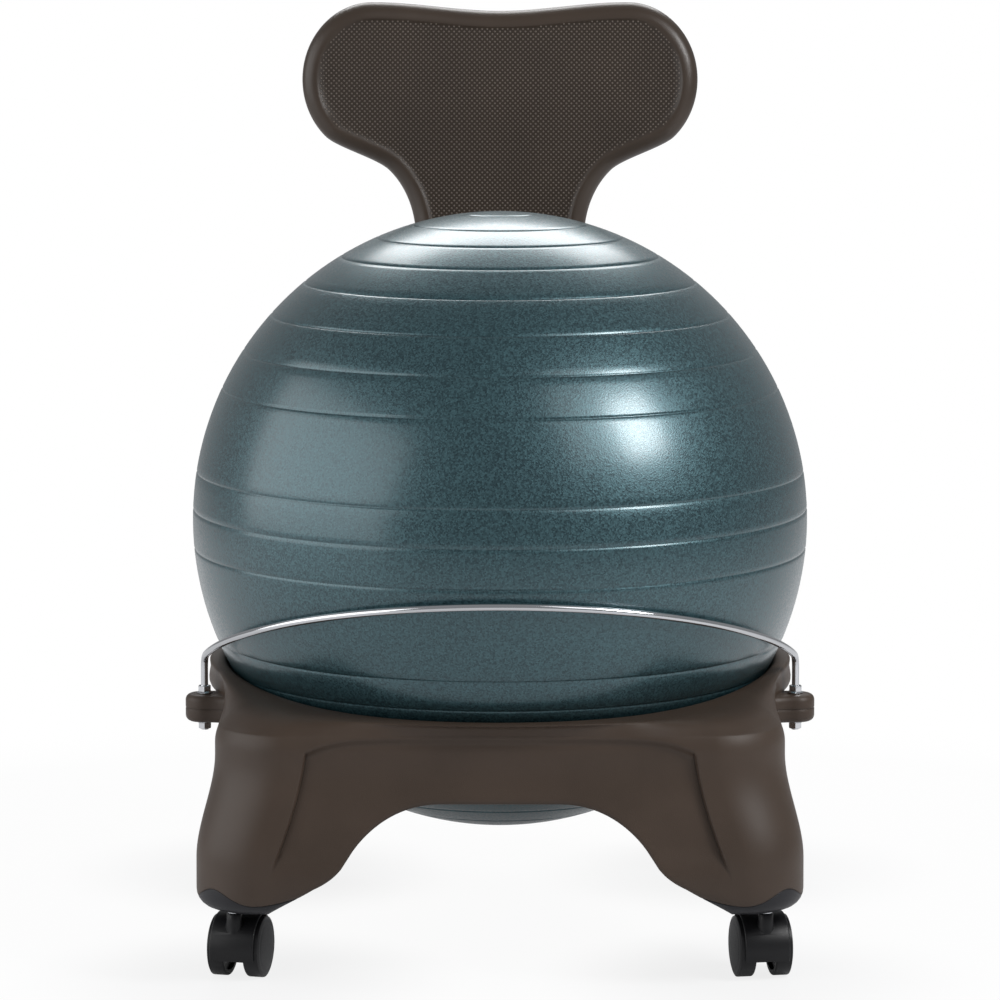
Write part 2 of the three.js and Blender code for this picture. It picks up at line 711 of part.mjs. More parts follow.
function ballProfile() {
  const points = [];
  const onBall = (latitude, lift) => {
    const angle = radians(latitude);
    points.push([(ballRadius + lift) * Math.cos(angle), (ballRadius + lift) * Math.sin(angle)]);
  };
  const halfRing = THREE.MathUtils.radToDeg(ringWidth / 2 / ballRadius);
  const widestStep = 11;
  points.push([0, ballRadius]);
  let last = 90;
  for (const latitude of ringLatitudes) {
    const start = latitude + halfRing;
    const fill = Math.floor((last - start) / widestStep);
    for (let i = 1; i <= fill; i += 1) onBall(mix(last, start, i / (fill + 1)), 0);
    onBall(start, 0);
    onBall(latitude, ringHeight);
    onBall(latitude - halfRing, 0);
    last = latitude - halfRing;
  }
  const hole = valveHoleDiameter / 2;
  points.push([hole, -Math.sqrt(ballRadius ** 2 - hole ** 2)]);
  const inside = ballRadius - ballWall;
  points.push([hole, -Math.sqrt(inside ** 2 - hole ** 2)]);
  const innerTurns = 6;
  for (let i = 1; i <= innerTurns; i += 1) {
    const angle = Math.PI * (i / innerTurns - 0.5);
    points.push([i === innerTurns ? 0 : inside * Math.cos(angle), inside * Math.sin(angle)]);
  }
  return points;
}

function addBall() {
  const ball = revolve(ballProfile().reverse(), ballSides).translate(0, 0, ballHeight);
  addPiece(chair, 'ball', ball, teal, 0.4);
  const seat = ballHeight - Math.sqrt(ballRadius ** 2 - (plugHeadDiameter / 2) ** 2) - fitGap;
  const shaft = valveHoleDiameter / 2 - fitGap;
  const tipShare = 0.6;
  const taperShare = 0.7;
  const plug = revolve([
    [0, seat - plugHeadHeight], [plugHeadDiameter / 2 - plugHeadHeight / 2, seat - plugHeadHeight],
    [plugHeadDiameter / 2, seat - plugHeadHeight / 2], [plugHeadDiameter / 2 - fitGap, seat - fitGap],
    [shaft, seat - fitGap], [shaft, seat + plugLength * taperShare],
    [shaft * tipShare, seat + plugLength], [0, seat + plugLength],
  ], turnedSides);
  addPiece(chair, 'valve_plug', plug, teal, 0.5);
}

// Retaining bar: up from each ear, bent over and round the front of the ball in a rising arc

// A path whose stations are shared out among its curves
class StationPath extends THREE.Curve {
  constructor(parts) {
    super();
    this.parts = parts;
    this.total = parts.reduce((sum, [, steps]) => sum + steps, 0);
  }

  getPoint(t) {
    let station = clamp01(t) * this.total;
    for (const [curve, steps] of this.parts) {
      if (station <= steps) return curve.getPoint(station / steps);
      station -= steps;
    }
    return this.parts.at(-1)[0].getPoint(1);
  }

  getPointAt(t) {
    return this.getPoint(t);
  }

  getTangentAt(t) {
    return this.getTangent(t);
  }
}

class BarArc extends THREE.Curve {
  constructor() {
    super();
    const run = barFrontReach + earOffsetY;
    this.radius = (earOffsetX ** 2 + run ** 2) / (2 * run);
    this.middle = this.radius - barFrontReach;
    this.end = Math.atan2(earOffsetX, this.middle - earOffsetY);
    this.slope = (barHeightFront - barHeightEnd) / run;
    this.trim = barBendRadius / this.radius;
  }

  getPoint(t) {
    const angle = mix(-1, 1, t) * (this.end - this.trim);
    const y = this.middle - this.radius * Math.cos(angle);
    return new THREE.Vector3(this.radius * Math.sin(angle), y, barHeightEnd + (earOffsetY - y) * this.slope);
  }
}

function addBar() {
  const arc = new BarArc();
  const lowerNutBottom = earTop - earThickness - fitGap - nutFlangeHeight - nutHeight;
  const barEnd = lowerNutBottom - barEndReach;
  const bendShares = 5;
  const legAt = (side, z) => new THREE.Vector3(side * earOffsetX, earOffsetY, z);
  const bend = (side) => new THREE.QuadraticBezierCurve3(
    legAt(side, barHeightEnd - barBendRadius), legAt(side, barHeightEnd), arc.getPoint(side < 0 ? 0 : 1));
  const reverse = (c) => new THREE.QuadraticBezierCurve3(c.v2, c.v1, c.v0);
  const leg = (side) => [legAt(side, barEnd), legAt(side, barHeightEnd - barBendRadius)];
  const path = new StationPath([
    [new THREE.LineCurve3(...leg(-1)), 1], [bend(-1), bendShares], [arc, 28],
    [reverse(bend(1)), bendShares], [new THREE.LineCurve3(...leg(1).reverse()), 1],
  ]);
  const round = new THREE.Shape().absarc(0, 0, barDiameter / 2, 0, 2 * Math.PI, false);
  const options = { steps: path.total, extrudePath: path, curveSegments: 5, bevelEnabled: false };
  addPiece(chair, 'retaining_bar', new THREE.ExtrudeGeometry(round, options), chrome, 0.12, 1);
  for (const [name, side] of leftRight) {
    const seats = [['upper', earTop + fitGap, 1], ['lower', earTop - earThickness - fitGap, -1]];
    for (const [level, seat, up] of seats) {
      const nut = toGeometry(flangeNut());
      if (up < 0) nut.rotateX(Math.PI);
      nut.translate(side * earOffsetX, earOffsetY, seat);
      addPiece(chair, `bar_nut_${level}_${name}`, nut, chrome, 0.15, 1);
    }
  }
}

function flangeNut() {
  const hexRadius = nutWidth / Math.sqrt(3);
  const flange = nutFlangeDiameter / 2;
  const lip = nutFlangeHeight / 2;
  const hex = rod(2 * hexRadius, lip, nutFlangeHeight + nutHeight, 6);
  const skirt = revolve(
    [[0, 0], [flange, 0], [flange, lip], [hexRadius, nutFlangeHeight], [0, nutFlangeHeight]], turnedSides);
  const bore = rod(barDiameter + 2 * fitGap, -overrun, nutFlangeHeight + nutHeight + overrun);
  return toSolid(hex).add(toSolid(skirt)).subtract(toSolid(bore));
}

// Casters, each drawn about its swivel axis with the axle behind it

function hoodSolid() {
  const rear = radians(hoodRearAngle);
  const front = Math.PI + Math.asin((wheelRadius - hoodBottom) / hoodOuter);
  const turns = 10;
  const inner = hoodOuter - hoodWall;
  const ring = (radius, i) => {
    const angle = mix(rear, front, i / turns);
    return new THREE.Vector2(radius * Math.cos(angle), radius * Math.sin(angle));
  };
  const steps = [...Array(turns + 1).keys()];
  const outside = steps.map((i) => ring(hoodOuter, i));
  const inside = steps.map((i) => ring(inner, i)).reverse();
  const cover = new THREE.Shape([...outside, ...inside]);
  const web = new THREE.Shape();
  const webRadius = hoodOuter - hoodWall / 2;
  const low = Math.asin((wheelRadius - hoodBottom) / webRadius);
  web.absarc(0, 0, webRadius, -low, Math.PI + low, false);
  const across = (shape, half) => toSolid(extrude(shape, 2 * half)
    .translate(0, 0, -half).rotateX(Math.PI / 2).rotateZ(Math.PI / 2).translate(0, casterTrail, wheelRadius));
  const neck = toSolid(rod(neckDiameter, hoodBottom, neckTop));
  let hood = across(cover, hoodHalfWidth).add(neck).add(across(web, webHalfWidth));
  const spigotBottom = neckTop - spigotLength - fitGap;
  hood = hood.subtract(toSolid(rod(spigotDiameter + 2 * fitGap, spigotBottom, neckTop + overrun)));
  const axleHole = rod(axleDiameter + 2 * fitGap, -casterWidth, casterWidth).rotateY(Math.PI / 2);
  return hood.subtract(toSolid(axleHole.translate(0, casterTrail, wheelRadius)));
}

const leverPinPlace = {
  y: casterTrail + leverPinRadius * Math.cos(radians(leverPinAngle)),
  z: wheelRadius + leverPinRadius * Math.sin(radians(leverPinAngle)),
};

// Slot and pin hole for the brake lever in the rear of the hood
function leverSeat(hood) {
  const half = leverArmHalfWidth + fitGap;
  const low = leverPinPlace.z - leverHubRadius - pedalStart / 2 * Math.tan(radians(leverThrow));
  const near = leverPinPlace.y - leverHubRadius - 2 * fitGap;
  const size = [2 * half, hoodOuter, hoodOuter];
  const slot = new THREE.BoxGeometry(...size).translate(0, near + size[1] / 2, low + size[2] / 2);
  const hole = rod(leverPinDiameter + 2 * fitGap, -casterWidth, casterWidth).rotateY(Math.PI / 2);
  return hood.subtract(toSolid(slot)).subtract(toSolid(hole.translate(0, leverPinPlace.y, leverPinPlace.z)));
}

function leverGeometry() {
  const arm = new THREE.Shape();
  arm.absarc(0, 0, leverHubRadius, Math.PI / 2, 1.5 * Math.PI, false);
  arm.lineTo(pedalStart + pedalThickness, pedalRise - pedalThickness);
  arm.lineTo(pedalStart + pedalThickness, pedalRise);
  arm.closePath();
  const pedal = new THREE.Shape();
  pedal.moveTo(pedalStart, pedalRise - pedalThickness);
  pedal.lineTo(pedalEnd - pedalThickness / 2, pedalRise - pedalThickness / 2);
  const pedalRound = pedalThickness / 2;
  pedal.absarc(pedalEnd, pedalRise + pedalRound, pedalRound, -Math.PI / 2, Math.PI / 2, false);
  pedal.lineTo(pedalStart, pedalRise);
  pedal.closePath();
  const across = (shape, half) => toSolid(extrude(shape, 2 * half)
    .translate(0, 0, -half).rotateX(Math.PI / 2).rotateZ(Math.PI / 2));
  const hole = rod(leverPinDiameter + 2 * fitGap, -casterWidth, casterWidth).rotateY(Math.PI / 2);
  const lever = across(arm, leverArmHalfWidth).add(across(pedal, pedalHalfWidth)).subtract(toSolid(hole));
  return toGeometry(lever).translate(0, leverPinPlace.y, leverPinPlace.z);
}

// A wheel with its axis along Z, its inner face down; the flats of its tread lie at the wheel's radius
function wheelGeometry() {
  const bore = axleDiameter / 2 + fitGap;
  const boreEnd = axleLength / 2 + fitGap;
  const outer = casterWidth / 2;
  const shoulder = wheelInner + treadWidth;
  const dome = outer - shoulder;
  const domeShares = [[0.96, 0.22], [0.7, 0.72], [0.36, 0.94]];
  const corner = wheelRadius / Math.cos(Math.PI / wheelSides);
  return revolve([
    [0, boreEnd], [bore, boreEnd], [bore, wheelInner], [corner - treadEdge, wheelInner],
    [corner, wheelInner + treadEdge], [corner, shoulder],
    ...domeShares.map(([outShare, riseShare]) => [corner * outShare, shoulder + dome * riseShare]),
    [0, outer],
  ], wheelSides).rotateZ(Math.PI / wheelSides);
}

function stemGeometry() {
  const radius = stemDiameter / 2;
  const top = neckTop + fitGap + stemLength;
  const seat = neckTop + fitGap;
  const groove = top - stemLength / 4;
  const spigot = spigotDiameter / 2;
  return revolve([
    [0, neckTop - spigotLength], [spigot, neckTop - spigotLength], [spigot, seat], [radius, seat],
    [radius, groove - stemGrooveDepth], [radius - stemGrooveDepth, groove - stemGrooveDepth],
    [radius - stemGrooveDepth, groove + stemGrooveDepth], [radius, groove + stemGrooveDepth],
    [radius, top - 2 * stemGrooveDepth], [radius - 2 * stemGrooveDepth, top], [0, top],
  ], turnedSides);
}

function bushGeometry() {
  const inner = stemDiameter / 2 + fitGap;
  const outer = bushDiameter / 2;
  const flange = bushFlangeDiameter / 2;
  return revolve([
    [inner, flangeBottom], [flange, flangeBottom], [flange, footHeight - fitGap],
    [outer, footHeight - fitGap], [outer, footHeight + bushLength - fitGap],
    [inner, footHeight + bushLength - fitGap], [inner, flangeBottom],
  ], turnedSides);
}

function addCaster([corner, sx, sy, heading]) {
  const caster = new THREE.Group();
  caster.position.set(sx * casterOffsetX, sy * casterOffsetY, 0);
  chair.add(caster);
  addPiece(caster, `stem_bush_${corner}`, bushGeometry(), black, 0.5);
  const swivel = new THREE.Group();
  swivel.rotation.z = radians(heading);
  caster.add(swivel);
  const braked = sy > 0;
  const hood = braked ? leverSeat(hoodSolid()) : hoodSolid();
  addPiece(swivel, `caster_stem_${corner}`, stemGeometry(), steel, 0.3, 1);
  addPiece(swivel, `caster_hood_${corner}`, toGeometry(hood), black, 0.45);
  const axle = rod(axleDiameter, -axleLength / 2, axleLength / 2).rotateY(Math.PI / 2);
  addPiece(swivel, `caster_axle_${corner}`, axle.translate(0, casterTrail, wheelRadius), steel, 0.3, 1);
  for (const [name, side] of leftRight) {
    const wheel = wheelGeometry().rotateY(side * Math.PI / 2).translate(0, casterTrail, wheelRadius);
    addPiece(swivel, `wheel_${corner}_${name}`, wheel, black, 0.5);
  }
  if (!braked) return;
  addPiece(swivel, `brake_lever_${corner}`, leverGeometry(), charcoal, 0.5);
  const pin = rod(leverPinDiameter, -leverPinLength / 2, leverPinLength / 2).rotateY(Math.PI / 2);
  addPiece(swivel, `brake_pin_${corner}`, pin.translate(0, leverPinPlace.y, leverPinPlace.z), steel, 0.3, 1);
}

addBase();
addBall();
addBackSupport();
addBar();
casterCorners.forEach(addCaster);

export default chair;
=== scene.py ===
from math import acos, asin, atan2, cos, degrees, exp, pi, radians, sin, sqrt

import bpy
import bmesh
import numpy as np
from mathutils import Matrix, Vector


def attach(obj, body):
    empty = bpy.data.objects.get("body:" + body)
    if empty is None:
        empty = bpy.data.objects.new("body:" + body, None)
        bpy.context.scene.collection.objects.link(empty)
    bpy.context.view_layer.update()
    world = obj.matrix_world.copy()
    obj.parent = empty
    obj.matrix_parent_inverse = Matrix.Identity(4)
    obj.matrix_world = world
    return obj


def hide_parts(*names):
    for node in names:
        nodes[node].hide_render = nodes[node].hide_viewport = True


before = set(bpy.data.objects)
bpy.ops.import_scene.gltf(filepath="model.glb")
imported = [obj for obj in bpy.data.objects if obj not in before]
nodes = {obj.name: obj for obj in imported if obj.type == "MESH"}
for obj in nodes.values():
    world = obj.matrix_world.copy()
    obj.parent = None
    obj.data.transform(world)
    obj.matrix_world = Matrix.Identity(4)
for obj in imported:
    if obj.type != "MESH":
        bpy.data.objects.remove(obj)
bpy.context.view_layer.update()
print("frame loaded")

# Small tools. Forms are worked out in millimetres about the ball's upright axis

ballAxisY = -22.0
millimetre = 0.001


def newObject(name, data):
    made = bpy.data.objects.new(name, data)
    bpy.context.scene.collection.objects.link(made)
    return made


def newMesh(name, points, faces=(), edges=()):
    mesh = bpy.data.meshes.new(name)
    places = np.asarray(points, dtype=float).reshape(-1, 3) * millimetre
    mesh.from_pydata(places.tolist(), list(edges), list(faces))
    return mesh


def dressPiece(piece, material, sharpAngle=35):
    mesh = piece.data
    mesh.materials.clear()
    mesh.materials.append(material)
    mesh.polygons.foreach_set("material_index", [0] * len(mesh.polygons))
    mesh.shade_smooth()
    mesh.set_sharp_from_angle(angle=radians(sharpAngle))


def finishPiece(name, mesh, material, sharpAngle=35):
    mesh.validate()
    piece = newObject(name, mesh)
    dressPiece(piece, material, sharpAngle)
    return piece


def faceOut(mesh):
    work = bmesh.new()
    work.from_mesh(mesh)
    bmesh.ops.remove_doubles(work, verts=work.verts, dist=1e-7)
    bmesh.ops.recalc_face_normals(work, faces=work.faces)
    work.to_mesh(mesh)
    work.free()


def newPiece(name, verts, faces, material, sharpAngle=35, place=None):
    points = np.asarray(verts, dtype=float).reshape(-1, 3)
    if place is None:
        points = points + np.array([0.0, ballAxisY, 0.0])
    mesh = newMesh(name, points, faces)
    if place is not None:
        mesh.transform(place)
    faceOut(mesh)
    return finishPiece(name, mesh, material, sharpAngle)


def bakedMesh(piece):
    graph = bpy.context.evaluated_depsgraph_get()
    mesh = bpy.data.meshes.new_from_object(piece.evaluated_get(graph))
    piece.modifiers.clear()
    return mesh


def cutWith(piece, cutter, operation="DIFFERENCE"):
    change = piece.modifiers.new("cut", "BOOLEAN")
    change.operation, change.solver, change.object = operation, "MANIFOLD", cutter
    piece.data = bakedMesh(piece)
    bpy.data.objects.remove(cutter)


def clamp01(t):
    return np.clip(t, 0.0, 1.0)


def smooth(t):
    return t * t * (3 - 2 * t)


def mix(a, b, t):
    return a + (b - a) * t


def gridFaces(rows, columns, closeRows=False, closeColumns=False, offset=0):
    faces = []
    for i in range(rows if closeRows else rows - 1):
        a = offset + i * columns
        b = offset + ((i + 1) % rows) * columns
        for j in range(columns if closeColumns else columns - 1):
            k = (j + 1) % columns
            faces.append((a + j, a + k, b + k, b + j))
    return faces


def cappedTube(rows, columns, turnFirst=True):
    last = (rows - 1) * columns
    first = tuple(reversed(range(columns))) if turnFirst else tuple(range(columns))
    return gridFaces(rows, columns, False, True) + [first, tuple(range(last, last + columns))]


def turnedProfile(profile, sides):
    verts, rings, faces = [], [], []
    for radius, height in profile:
        count = 1 if radius < 1e-6 else sides
        rings.append([len(verts) + k for k in range(count)])
        verts += ringPoints(radius, height, sides)[:count]
    for low, high in zip(rings, rings[1:]):
        for k in range(sides):
            n = (k + 1) % sides
            face = low[k % len(low)], low[n % len(low)], high[n % len(high)], high[k % len(high)]
            corners = tuple(dict.fromkeys(face))
            if len(corners) > 2:
                faces.append(corners)
    return verts, faces


def ringPoints(radius, height, sides):
    turns = [2 * pi * k / sides for k in range(sides)]
    reach = radius if callable(radius) else lambda a: radius
    return [(reach(a) * cos(a), reach(a) * sin(a), height) for a in turns]


def hexRadius(across, grow=0.0, most=np.inf):
    return lambda a: min(across / 2 / cos((a + pi / 6) % (pi / 3) - pi / 6) + grow, most)


def arcPoints(cx, cy, radius, start, end, steps):
    return [(cx + radius * cos(a), cy + radius * sin(a)) for a in np.linspace(start, end, steps)]


# Camera: straight in front, level with the back support, looking a little down

cameraSettings = {
    "place": (0.0, -3.8836, 0.8971), "pitch": 7.8256, "lens": 165.465, "sensor": 36.0, "farthest": 60}


def addCamera(s):
    data = bpy.data.cameras.new("chairCamera")
    data.lens, data.sensor_width, data.clip_end = s["lens"], s["sensor"], s["farthest"]
    cameraObject = newObject("chairCamera", data)
    cameraObject.location = s["place"]
    cameraObject.rotation_euler = (radians(90 - s["pitch"]), 0, 0)
    bpy.context.scene.camera = cameraObject


addCamera(cameraSettings)

# Materials


def setInputs(node, values):
    for key, value in values.items():
        if isinstance(value, bpy.types.NodeSocket):
            node.id_data.links.new(value, node.inputs[key])
        else:
            node.inputs[key].default_value = value


def addNode(tree, kind, inputs=None, **settings):
    made = tree.nodes.new(kind)
    for key, value in settings.items():
        setattr(made, key, value)
    setInputs(made, inputs or {})
    return made


def mathNode(tree, kind, operation, *values, **settings):
    return addNode(tree, kind, dict(enumerate(values)), operation=operation, **settings).outputs[0]


def mainShader(material):
    return next(n for n in material.node_tree.nodes if n.type == "BSDF_PRINCIPLED")


def newMaterial(name):
    material = bpy.data.materials.new(name)
    material.use_nodes = True
    return material, material.node_tree, mainShader(material)


def objectPlace(tree):
    return addNode(tree, "ShaderNodeTexCoord").outputs["Object"]


def objectNoise(tree, scale, detail=2.0, rough=0.5, stretch=None):
    place = objectPlace(tree)
    if stretch:
        place = addNode(tree, "ShaderNodeMapping", {"Vector": place, "Scale": stretch}).outputs["Vector"]
    looks = {"Vector": place, "Scale": scale, "Detail": detail, "Roughness": rough}
    return addNode(tree, "ShaderNodeTexNoise", looks).outputs["Fac"]


def mapped(tree, value, low, high, fromLow=0.3, fromHigh=0.7, **settings):
    ends = {"Value": value, "From Min": fromLow, "From Max": fromHigh, "To Min": low, "To Max": high}
    return addNode(tree, "ShaderNodeMapRange", ends, **settings).outputs["Result"]


def blendedColour(tree, value, first, second):
    ends = {"Factor": value, "A": (*first, 1), "B": (*second, 1)}
    return addNode(tree, "ShaderNodeMix", ends, data_type="RGBA").outputs["Result"]


def bumpChain(tree, shader, layers, edgeRadius=0.0):
    below = {}
    if edgeRadius:
        bevel = addNode(tree, "ShaderNodeBevel", {"Radius": edgeRadius}, samples=4)
        below = {"Normal": bevel.outputs["Normal"]}
    for height, strength, distance in layers:
        looks = {"Height": height, "Strength": strength, "Distance": distance, **below}
        below = {"Normal": addNode(tree, "ShaderNodeBump", looks).outputs["Normal"]}
    setInputs(shader, below)


mouldedSettings = {
    "colours": ((0.045, 0.029, 0.0195), (0.057, 0.0375, 0.026)), "roughness": (0.4, 0.52), "specular": 0.4,
    "grainScale": 1500.0, "grainStrength": 0.35, "grainDepth": 0.0003,
    "waveScale": 14.0, "waveStrength": 0.12, "waveDepth": 0.004, "edgeRadius": 0.0025,
}
backSkinSettings = {
    **mouldedSettings, "colours": ((0.038, 0.0252, 0.017), (0.048, 0.0325, 0.0225)), "edgeRadius": 0.0,
    "roughness": (0.3, 0.42), "specular": 0.5, "paintedPanelShade": 0.72,
}
# Painted highlight: the bumps get a copy of the back's plastic about three times lighter, standing in for
# light caught on their tops
bumpHighlightSettings = {**backSkinSettings, "colours": ((0.12, 0.096, 0.078), (0.16, 0.13, 0.105))}
capSkinSettings = {
    **mouldedSettings, "colours": ((0.01, 0.01, 0.0125), (0.015, 0.015, 0.018)), "roughness": (0.34, 0.46),
    "grainScale": 1100.0, "edgeRadius": 0.0012, "specular": 0.34,
}
nylonSettings = {
    **mouldedSettings, "colours": ((0.006, 0.006, 0.007), (0.009, 0.009, 0.01)), "roughness": (0.3, 0.44),
    "grainScale": 1300.0, "grainDepth": 0.0002, "edgeRadius": 0.0006, "specular": 0.3,
}
leverSkinSettings = {**nylonSettings, "colours": ((0.03, 0.03, 0.036), (0.04, 0.04, 0.048))}


def mouldedPlastic(name, s):
    material, tree, shader = newMaterial(name)
    cloud = objectNoise(tree, s["waveScale"], 3.0)
    grain = objectNoise(tree, s["grainScale"], 2.0, 0.6)
    setInputs(shader, {
        "Base Color": blendedColour(tree, mapped(tree, cloud, 0, 1), *s["colours"]),
        "Roughness": mapped(tree, grain, *s["roughness"]), "Specular IOR Level": s["specular"]})
    layers = [(grain, s["grainStrength"], s["grainDepth"]), (cloud, s["waveStrength"], s["waveDepth"])]
    bumpChain(tree, shader, layers, s["edgeRadius"])
    return material


# Painted shade: the sunk panel inside the rolled border is multiplied darker, standing in for the shade
# between the bumps
def paintPanelShade(material, s, border, step):
    tree, shader = material.node_tree, mainShader(material)
    brown, shade = shader.inputs["Base Color"].links[0].from_socket, s["paintedPanelShade"]
    inward = addNode(tree, "ShaderNodeAttribute", attribute_name="edgeDistance", attribute_type="GEOMETRY")
    inside = mapped(tree, inward.outputs["Fac"], 0, 1, border, border + step)
    darker = addNode(tree, "ShaderNodeMix", {"Factor": inside, "A": brown, "B": (shade, shade, shade, 1)},
                     data_type="RGBA", blend_type="MULTIPLY")
    setInputs(shader, {"Base Color": darker.outputs["Result"]})


basePlastic = mouldedPlastic("basePlastic", mouldedSettings)
backPlastic = mouldedPlastic("backPlastic", backSkinSettings)
bumpHighlightPlastic = mouldedPlastic("bumpHighlightPlastic", bumpHighlightSettings)
capPlastic = mouldedPlastic("footCapPlastic", capSkinSettings)
leverPlastic = mouldedPlastic("leverPlastic", leverSkinSettings)
wheelNylon = mouldedPlastic("wheelNylon", {**nylonSettings, "edgeRadius": 0.0})
casterNylon = mouldedPlastic("casterNylon", nylonSettings)

vinylSettings = {
    "deep": (0.008, 0.038, 0.05), "light": (0.044, 0.115, 0.135), "metallic": 0.62, "specular": 0.8,
    "roughness": (0.3, 0.46), "coat": 0.82, "coatRoughness": 0.23, "grainScale": 760.0, "grainStrength": 0.35,
    "grainDepth": 0.0003, "waveScale": 7.0, "waveStrength": 0.1, "waveDepth": 0.003,
}
plugSkinSettings = {**vinylSettings, "metallic": 0.1, "specular": 0.5, "coat": 0.2, "roughness": (0.42, 0.55)}


def ballVinyl(name, s):
    material, tree, shader = newMaterial(name)
    grain = {"Vector": objectPlace(tree), "Scale": s["grainScale"]}
    cells = addNode(tree, "ShaderNodeTexVoronoi", grain).outputs
    cloud = objectNoise(tree, s["waveScale"], 3.0)
    share = mapped(tree, cells["Color"], 0, 1, 0.1, 0.9)
    setInputs(shader, {
        "Base Color": blendedColour(tree, share, s["deep"], s["light"]),
        "Roughness": mapped(tree, cells["Color"], *s["roughness"]), "Metallic": s["metallic"],
        "Specular IOR Level": s["specular"], "Coat Weight": s["coat"], "Coat Roughness": s["coatRoughness"]})
    bumpChain(tree, shader, [(cells["Distance"], s["grainStrength"], s["grainDepth"]),
                             (cloud, s["waveStrength"], s["waveDepth"])])
    return material


ballSkin = ballVinyl("ballVinyl", vinylSettings)
plugVinyl = ballVinyl("plugVinyl", plugSkinSettings)

chromeSettings = {
    "colour": (0.62, 0.63, 0.65), "roughness": (0.06, 0.12), "scratchScale": 260.0, "stretch": (1, 1, 1),
    "scratchStrength": 0.08, "scratchDepth": 0.0002,
}
zincSettings = {
    **chromeSettings, "colour": (0.5, 0.5, 0.51), "roughness": (0.28, 0.42), "scratchScale": 700.0,
    "stretch": (1, 1, 0.15),
}


def plated(name, s):
    material, tree, shader = newMaterial(name)
    scratch = objectNoise(tree, s["scratchScale"], 2.0, 0.6, s["stretch"])
    setInputs(shader, {"Base Color": (*s["colour"], 1), "Metallic": 1.0,
                       "Roughness": mapped(tree, scratch, *s["roughness"])})
    bumpChain(tree, shader, [(scratch, s["scratchStrength"], s["scratchDepth"])])
    return material


barChrome = plated("barChrome", chromeSettings)
zincSteel = plated("zincSteel", zincSettings)

# Base: the same rules as the solid, with a fine skin, rounded arch edges and a moulded crease

baseSettings = {
    "foot": 61.0, "footHalf": 247.0, "waistHalf": 232.5, "flareBottom": 101.0, "flareTop": 182.0,
    "footRound": 15.0, "archRound": 4.5, "archRise": 22.0, "reachFoot": 48.0, "reachTop": 60.0,
    "cornerPower": 1.85, "fineFrom": 0.84,
    "apronTop": 204.0, "apronDepth": 5.0, "creaseTopHalf": 157.0, "creaseFootHalf": 187.0,
    "creaseBottom": 94.0, "creasePower": 1.6, "creaseWidth": 2.6, "sinkShare": 0.25,
    "grooveShare": 0.3, "grooveAt": 0.22, "grooveWidth": 0.2,
    "ledgeFade": 8.0, "ledgeDrop": 11.0, "ledgePower": 8, "shoulderFrom": 192.0, "shoulder": 3.2,
    "rimFront": 217.0, "rimSide": 234.0, "rimRear": 242.0, "rimRadius": 246.0, "lip": 6.0, "swell": 6.7,
    "lipBottom": 206.0, "lipCurve": [(0.1, 0.8), (0.36, 0.3), (0.7, 0.05)],
    "innerLip": [(3.2, 0.05), (1.6, 0.35), (0.7, 1.0), (0.2, 2.0)],
    "well": 188.0, "wellSteps": (0.12, 0.35, 0.7, 1.0), "ballHeight": 351.0, "cupRadius": 261.4,
    "arch": [(187, 61), (150, 83.3), (124, 105.2), (50, 150.2)],
    "toeBend": ((0.42, 0.22), (0.8, 0.57)), "crownBend": ((0.14, 0.4), (0.46, 0.98)),
    "capPeak": 81.3, "capDip": 69.7, "capDipOffset": 34.0, "capEnd": 83.3, "capEndOffset": 80.0,
    "capGap": 0.3, "capInner": 124.0, "cutterOverrun": 5.0,
}


def archHeights(s):
    foot, toe, knee, crown = [np.array(p, dtype=float) for p in s["arch"]]
    points = [foot]
    for a, d, shares in ((toe, knee, s["toeBend"]), (knee, crown, s["crownBend"])):
        b, c = [a + (d - a) * np.array(share) for share in shares]
        for t in np.linspace(0, 1, 24):
            points.append((1 - t) ** 3 * a + 3 * t * (1 - t) ** 2 * b + 3 * t * t * (1 - t) * c + t ** 3 * d)
    table = np.array(sorted({(round(float(x), 4), round(float(z), 4)) for x, z in points}))
    return table[:, 0], table[:, 1]


archX, archZ = archHeights(baseSettings)


def undersideAt(x, y):
    return np.maximum(np.interp(np.abs(x), archX, archZ), np.interp(np.abs(y), archX, archZ))


def wallHalf(z, s):
    up = clamp01((z - s["flareBottom"]) / (s["flareTop"] - s["flareBottom"]))
    return mix(s["footHalf"], s["waistHalf"], smooth(up))


def creaseHalf(z, s):
    down = clamp01((s["apronTop"] - z) / (s["apronTop"] - s["creaseBottom"]))
    return mix(s["creaseTopHalf"], s["creaseFootHalf"], down ** s["creasePower"])


# Columns of half a face, from its middle to the diagonal
halfColumns = [("apron", t) for t in np.linspace(0, 1, 65)[:-1]]
halfColumns += [("crease", t) for t in np.linspace(0, 1, 7)[:-1]]
halfColumns += [("strip", t) for t in np.linspace(0, 1, 5)[:-1]]
halfColumns += [("corner", t) for t in np.linspace(0, 1, 23)]


def halfFace(z, inset, sunk, s):
    along, out = np.zeros(len(halfColumns)), np.zeros(len(halfColumns))
    half, crease = wallHalf(z, s), creaseHalf(z, s)
    reach = mix(s["reachFoot"], s["reachTop"], clamp01((z - s["foot"]) / (s["apronTop"] - s["foot"])))
    outer, start, depth = half - inset, half - reach, s["apronDepth"] * sunk
    power = 2 / s["cornerPower"]
    for k, (zone, t) in enumerate(halfColumns):
        if zone == "apron":
            along[k], out[k] = (crease[k] - s["creaseWidth"]) * t, outer[k] - depth[k]
        elif zone == "crease":
            along[k] = crease[k] - s["creaseWidth"] * (1 - t)
            groove = s["grooveShare"] * depth[k] * exp(-((t - s["grooveAt"]) / s["grooveWidth"]) ** 2)
            out[k] = outer[k] - depth[k] * (1 - smooth(t)) - groove
        elif zone == "strip":
            along[k], out[k] = mix(crease[k], start[k], t), outer[k]
        else:
            angle = pi / 4 * t
            along[k] = start[k] + (reach[k] - inset[k]) * sin(angle) ** power
            out[k] = start[k] + (reach[k] - inset[k]) * cos(angle) ** power
    return along, out


